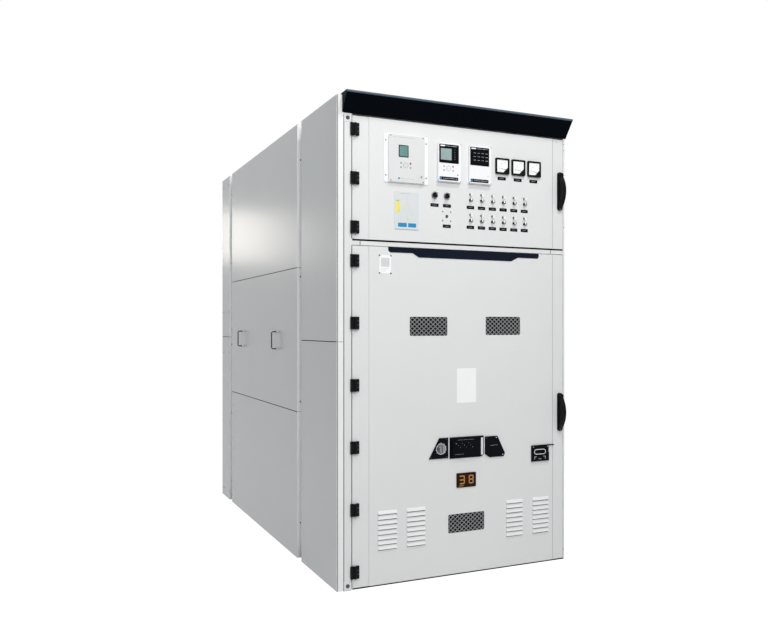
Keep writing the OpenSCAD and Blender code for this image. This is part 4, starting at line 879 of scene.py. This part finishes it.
def cover_screws():
    """Screws in the edges of the bays, and on the covers of the rear bay."""
    x = -718
    p = Piece("cover_screws", "cabinet", "steel")
    for z in (213, 938, 1687, 2388):
        p.screw(x, z, BAY_Y[0], 4.4, "black", 2.4)
    for z in (150, 700, 1250, 1370, 1900, 2450):
        p.screw(x, z, BAY_Y[1], 4.4, "black", 2.4)
    p.done()
    s = Piece("side_screws", "cabinet", "steel")
    for y, z in ((1151, 2529), (1338, 2532), (1151, 1508), (1338, 1508),
                 (1151, 1180), (1338, 1180), (1136, 75), (1338, 64)):
        s.screw(0, z, 0, 4.6, "black", 2.4)
        turn(s, y, z)
    s.done()


def turn(p, y, z):
    """Swings the last screw, made at X 0 and Y 0, onto the left side at (y, z)."""
    reach = 20 * MM
    quarter = Matrix.Rotation(math.radians(-90), 4, "Z")
    m = (Matrix.Translation(Vector((SIDE_X, y, z)) * MM) @ quarter
         @ Matrix.Translation((0, 0, -z * MM)))
    verts = [v for v in p.bm.verts if v.co.x > -reach and abs(v.co.y) < reach]
    bmesh.ops.transform(p.bm, matrix=m, verts=verts)


def side_dress():
    """Sealing strips in the side seams, and paler paint on the folded front edges of the bays as
    their painted highlight.
    """
    p = Piece("side_seals", "cabinet", "black_plastic")
    for y0, y1, z in ((-1399, -788, 1308), (-704, 1039, 878), (-704, 1039, 1742),
                      (1131, 1399, 1308)):
        p.box(SIDE_X + 0.3, -702, y0, y1, z - 0.8, z + 0.8, "rubber")
        p.box(SIDE_X - 0.5, SIDE_X + 0.1, y0, y1, z - 2.2, z + 2.2, "rubber")
    p.done()
    # Painted highlight: the front-facing edges of the bays and of the end cover get a paler copy
    # of the paint.
    q = Piece("bay_edge_highlights", "cabinet", "door_paint")
    three = ((4, 877), (879, 1741), (1743, 2600))
    two = ((4, 1307), (1309, 2600))
    for y, spans in zip(BAY_Y, (three, two)):
        for z0, z1 in spans:
            q.box(SIDE_X, -700, y - 1.0, y, z0, z1, "painted_highlight_white", 0.3)
    for z0, z1 in two:
        q.box(SIDE_X, -700.5, POST_Y - 1.0, POST_Y, z0, z1, "painted_highlight_white", 0.3)
    q.done()


def grip_sleeves():
    """A dark sleeve over each wire handle of the access panel, with two round feet."""
    x, mid, out, half, bend = SIDE_X, 1301, 33.6, 55.0, 7
    p = Piece("grip_sleeves", "cabinet", "steel")
    for y in (-251, 691):
        path = [(x - 0.5, y, mid + half)]
        for k in range(6):
            a = math.radians(18 * k)
            path.append((x - out + bend - bend * math.sin(a), y,
                         mid + half - bend + bend * math.cos(a)))
        path += [(a, b, 2 * mid - c) for a, b, c in reversed(path)]
        p.wire(path, 4.5, "dark_metal")
        for s in SIDES:
            foot = mid + s * half
            p.wire([(x - 5.0, y, foot), (x, y, foot)], 8.0, "steel")
    p.done()


def door_seals():
    """Rubber seals in the gaps round the doors, with a wide lip under the upper door as painted
    shadow; a grey line at each field's right step as painted shadow, and a fillet at its left
    step; and a black brush under the lower door, which also paints the shadow under it.
    """
    p = Piece("door_seals", "cabinet", "black_plastic")
    p.box(-650, 688, -1397, -1388, 1847.3, 1849.7, "rubber")
    # Partly painted shadow: this front lip is widened to stand for the shadow under the upper
    # door.
    p.box(-650, 688, -1398.7, -1398.1, 1841.0, 1849.7, "rubber")
    for x in (-606.3, 601.2):
        p.box(x - 1.6, x + 1.6, -1398.6, -1397, 1820, 1841, "rubber")
    for z0, z1 in (MAIN_DOOR_Z, LV_DOOR_Z):
        p.box(-653.7, -651.4, -1396, -1388, z0, z1, "rubber")
    p.done()
    for body, (z0, z1) in (("main_door", MAIN_DOOR_Z), ("lv_door", LV_DOOR_Z)):
        q = Piece(body + "_step_shadow_line", body, "black_plastic")
        # Painted shadow: a grey line beside the right step of each door's raised field.
        q.box(614.2, 617.4, DOOR_Y - 0.5, DOOR_Y, z0 + 4, z1 - 4, "print")
        q.bar([(-558.5, DOOR_Y), (-556.4, DOOR_Y - 1.8), (-553.6, DOOR_Y - 3.05),
               (-553.6, DOOR_Y)], z0, z1, "door", True)
        q.done()
    # A brush seal under the door, also standing in as painted contact shadow along the door's
    # foot.
    b = Piece("door_brush_and_shadow", "main_door", "black_plastic")
    count, pitch, width = 134, 10, 9
    for k in range(count):
        x = -648 + pitch * k
        b.box(x, x + width, DOOR_Y + 0.5, DOOR_Y + 5, 2.5, 9.9, "rubber")
    b.done()


def post_seams():
    """The fold of the end cover's front edge, and its seam with the left post."""
    p = Piece("post_seams", "cabinet", "black_plastic")
    front = POST_Y - 1.4
    for z0, z1 in ((5, 1306), (1310, 2599)):
        p.box(-735.2, -731.4, front, POST_Y - 0.9, z0, z1, "seam")
    p.box(-701.0, -696.4, front, POST_Y, 5, 2499, "seam")
    for z0, z1 in (MAIN_DOOR_Z, LV_DOOR_Z):
        p.box(-655.8, -652.6, POST_Y - 0.5, POST_Y + 4, z0, z1, "rubber")
    p.done()


def beam_ends():
    """The crossbeam carried on to both posts in front of their rebates."""
    y0, y1, z0, z1 = -1398, -1380, 1818.2, 1846.8
    p = Piece("beam_ends", "cabinet", "door_paint")
    for x0, x1 in ((-653, -608), (603, 689.5)):
        p.bar([(y0, z0), (y0, z1), (y1, z1), (y1, z0)], x0, x1, "door")
    p.done()


def header_nose_highlight():
    """Rounded nose along the header's upper front edge, in a paler blue as its painted highlight.
    """
    lo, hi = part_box("header_canopy")
    cy, cz, r = lo[1] / MM + 7, hi[2] / MM - 7, 7.5
    arc = [heading(95 + 8 * k) for k in range(18)]
    pts = [(cy + r * d.x, cz + r * d.y) for d in arc]
    pts += [(cy + (r - 1.2) * d.x, cz + (r - 1.2) * d.y) for d in reversed(arc)]
    p = Piece("header_nose_highlight", "cabinet", "header_paint")
    p.bar(pts, lo[0] / MM + 1, hi[0] / MM - 1, "nose_highlight_blue")
    p.done()


def rear_screws():
    """Screws of the rear covers, made on the front face and then turned to the back."""
    p = Piece("rear_screws", "cabinet", "steel")
    for x in (-660, 0, 660):
        for z in (90, 690, 1280, 1330, 1960, 2565):
            p.screw(x, z, -REAR_Y, 5.0, "steel", 1.0)
    half_turn = Matrix.Rotation(math.radians(180), 4, "Z")
    bmesh.ops.transform(p.bm, matrix=half_turn, verts=list(p.bm.verts))
    p.done()


# Inside
def plug_relays(p, y, z):
    """Twelve plug-in relays side by side on a rail."""
    count, pitch = 12, 36
    for k in range(count):
        x = -480 + pitch * k
        p.box(x, x + 35, y - 60, y - 6, z - 40, z + 40, "relay", 1.5)
        p.box(x + 3, x + 32, y - 68, y - 60, z - 22, z + 22, "relay", 1.0)
        p.box(x + 13, x + 22, y - 80, y - 66, z - 6, z + 9, "plastic", 1.0)


def terminal_row(p, y, z):
    """Forty-six terminals side by side on a rail, with two screws in each."""
    count, pitch = 46, 10
    for k in range(count):
        x = -480 + pitch * k
        p.box(x, x + 9.2, y - 52, y - 6, z - 27, z + 27, "terminal", 0.6)
        for up in (15, -15):
            p.disc(x + 4.6, z + up, [(0, y - 53), (2.6, y - 53), (2.8, y - 51.9)], "steel", 10)


def wiring_space():
    """Rails, cable ducts, relays and terminals on the instrument compartment's wall."""
    wall = -775.0
    p = Piece("terminal_rails", "cabinet", "zinc_sheet")
    for z in RAIL_Z:
        p.box(-520, 520, wall - 7.5, wall, z - 17.5, z + 17.5, "zinc", 0.5)
        p.box(-560, 560, wall - 60, wall, z - 92, z - 52, "duct", 1.5)
    p.done()
    for i, (fill, z) in enumerate(zip((plug_relays, terminal_row, terminal_row), RAIL_Z)):
        q = Piece("terminals_%d" % (i + 1), "cabinet", "relay_grey")
        fill(q, wall, z)
        q.done()


def relay_backs():
    """Green connectors on the back of each relay, with a row of screws."""
    p = Piece("relay_connectors", "lv_door", "black_plastic")
    y = FIELD_Y + 170
    for (x, z), w, n in ((RELAY_1, 180, 5), (RELAY_2, 110, 3), (RELAY_3, 110, 3)):
        for k in range(n):
            cx = x - w / 2 + (k + 0.5) * w / n
            p.box(cx - 11, cx + 11, y, y + 12, z - 80, z + 80, "green", 1.0)
            for j in range(10):
                low = z - 74 + 16 * j
                p.box(cx - 5, cx + 5, y + 11.5, y + 13, low, low + 8, "steel")
    p.done()


def breaker_face():
    """Push buttons, windows, counter, bare plate and charging socket of the breaker."""
    y = -1178.0
    button_x, button_z, window_z, row_z = 120, 1060, 1185, 915
    p = Piece("breaker_face", "truck", "black_plastic")
    for x, look in ((-button_x, "green"), (button_x, "red")):
        p.disc(x, button_z, ring(29, 22.6, y - 3, y), "steel", 40)
        p.disc(x, button_z, [(0, y - 17.5), (17, y - 17.2), (20, y - 15.5), (20.5, y - 13.9)],
               look, 36)
    for x, look in ((-button_x, "green"), (button_x, "yellow")):
        p.plate(rounded(x, window_z, 116, 46, 2), y + 2.4, y + 4, "gloss_black", 0.3)
        p.plate(rounded(x - 22, window_z, 46, 30, 2), y + 1.4, y + 2.5, look, 0.3)
    for k in range(5):
        p.plate(rounded(-44 + 22 * k, row_z, 17, 34, 1.5), y + 1.6, y + 4, "white", 0.3)
    p.plate(rounded(-175, row_z, 120, 70, 3), y - 1.2, y, "steel", 0.4)
    for sx, sz in CORNERS:
        p.screw(-175 + sx * 54, row_z + sz * 29, y - 1.2, 2.6)
        p.screw(sx * 256, 1050 + sz * 216, y, 5.0)
    p.disc(200, row_z, ring(24, 17, y - 2.5, y), "yellow", 36)
    p.disc(200, row_z, [(0, y - 10.6), (9, y - 10.6), (9.6, y - 10)], "plastic", 6, False)
    p.done()


def beam_plates():
    """White strip and four screws on the front locking beam."""
    f = limit("truck_beam", LOW, Y)
    p = Piece("beam_plates", "cabinet", "black_plate")
    p.plate(rounded(0, 745, 90, 12, 2), f - 0.8, f, "white", 0.2)
    for x in (-470, -420, 420, 470):
        p.screw(x, 711, f, 5.0)
    p.done()


relay_one()
relay_small("relay_2_face", RELAY_2, True)
relay_small("relay_3_face", RELAY_3, False)
for i in range(3):
    meter(i)
instrument_labels()
selectors()
test_socket()
mimic_card()
name_board()
door_sticker()
blank_card()
louvre_painted_light()
vent_filters()
operating_marks()
racking_flap_marks()
slide_marks()
amber_display()
hinge_screws()
handle_locks()
post_gussets()
cover_screws()
side_dress()
grip_sleeves()
door_seals()
beam_ends()
post_seams()
header_nose_highlight()
rear_screws()
wiring_space()
relay_backs()
breaker_face()
beam_plates()

# Floor, light and world
def seen(nt):
    """1 for rays from the camera, a mirror or glass: those see the white backdrop."""
    lp = nt.nodes.new("ShaderNodeLightPath")
    out = lp.outputs["Is Camera Ray"]
    for other in ("Is Glossy Ray", "Is Transmission Ray"):
        top = nt.nodes.new("ShaderNodeMath")
        top.operation = "MAXIMUM"
        nt.links.new(out, top.inputs[0])
        nt.links.new(lp.outputs[other], top.inputs[1])
        out = top.outputs[0]
    return out


# The floor is white to the camera and a plain pale grey to all other rays
fm, fnt, fb = new_mat("floor_white")
fb.inputs["Base Color"].default_value = (0.32, 0.32, 0.32, 1)
fb.inputs["Roughness"].default_value = 0.8
fb.inputs["Specular IOR Level"].default_value = 0.0
fb.inputs["Emission Color"].default_value = (1, 1, 1, 1)
fb.inputs["Emission Strength"].default_value = 0.90
pale = fnt.nodes.new("ShaderNodeBsdfDiffuse")
pale.inputs["Color"].default_value = (0.72, 0.72, 0.72, 1)
both = fnt.nodes.new("ShaderNodeMixShader")
fnt.links.new(seen(fnt), both.inputs[0])
fnt.links.new(pale.outputs[0], both.inputs[1])
fnt.links.new(fb.outputs[0], both.inputs[2])
fnt.links.new(both.outputs[0], fnt.nodes["Material Output"].inputs[0])
bpy.ops.mesh.primitive_plane_add(size=60, location=(0, 0, -0.0005))
floor = bpy.context.object
floor.name = "studio_floor"
floor.data.materials.append(fm)


def area(name, loc, target, size, energy, color=(1, 1, 1)):
    """A square lamp at loc, aimed at target, which the camera doesn't see."""
    d = bpy.data.lights.new(name, "AREA")
    d.shape = "SQUARE"
    d.size = size
    d.energy = energy
    d.color = color
    o = bpy.data.objects.new(name, d)
    scene.collection.objects.link(o)
    o.location = loc
    o.rotation_euler = (Vector(target) - Vector(loc)).to_track_quat("-Z", "Y").to_euler()
    o.visible_camera = False


area("key", (-1.8, -6.8, 4.8), (0, -1.4, 1.8), 2.2, 204)
area("front_top", (0.1, -3.6, 5.8), (0, -1.4, 1.6), 0.5, 92)
area("rear_soft", (-2.19, 6.5, 2.72), (-0.74, 0.5, 1.9), 0.75, 7, (1.0, 0.95, 0.88))
area("top", (0, 0.5, 6.5), (0, 0, 2.6), 4.0, 15)
area("left_soft", (-3.2, -0.4, 4.6), (-0.75, -0.2, 2.3), 1.5, 19, (0.95, 0.985, 1.0))

# The world is a soft cool light, and pure white where the camera sees it
world = bpy.data.worlds.new("studio")
scene.world = world
world.use_nodes = True
wn = world.node_tree
wn.nodes.clear()
wout = wn.nodes.new("ShaderNodeOutputWorld")
soft = wn.nodes.new("ShaderNodeBackground")
soft.inputs["Color"].default_value = (0.97, 0.985, 1.0, 1)
soft.inputs["Strength"].default_value = 0.33
plain = wn.nodes.new("ShaderNodeBackground")
plain.inputs["Color"].default_value = (1, 1, 1, 1)
plain.inputs["Strength"].default_value = 1.0
mix = wn.nodes.new("ShaderNodeMixShader")
wn.links.new(seen(wn), mix.inputs[0])
wn.links.new(soft.outputs[0], mix.inputs[1])
wn.links.new(plain.outputs[0], mix.inputs[2])
wn.links.new(mix.outputs[0], wout.inputs[0])
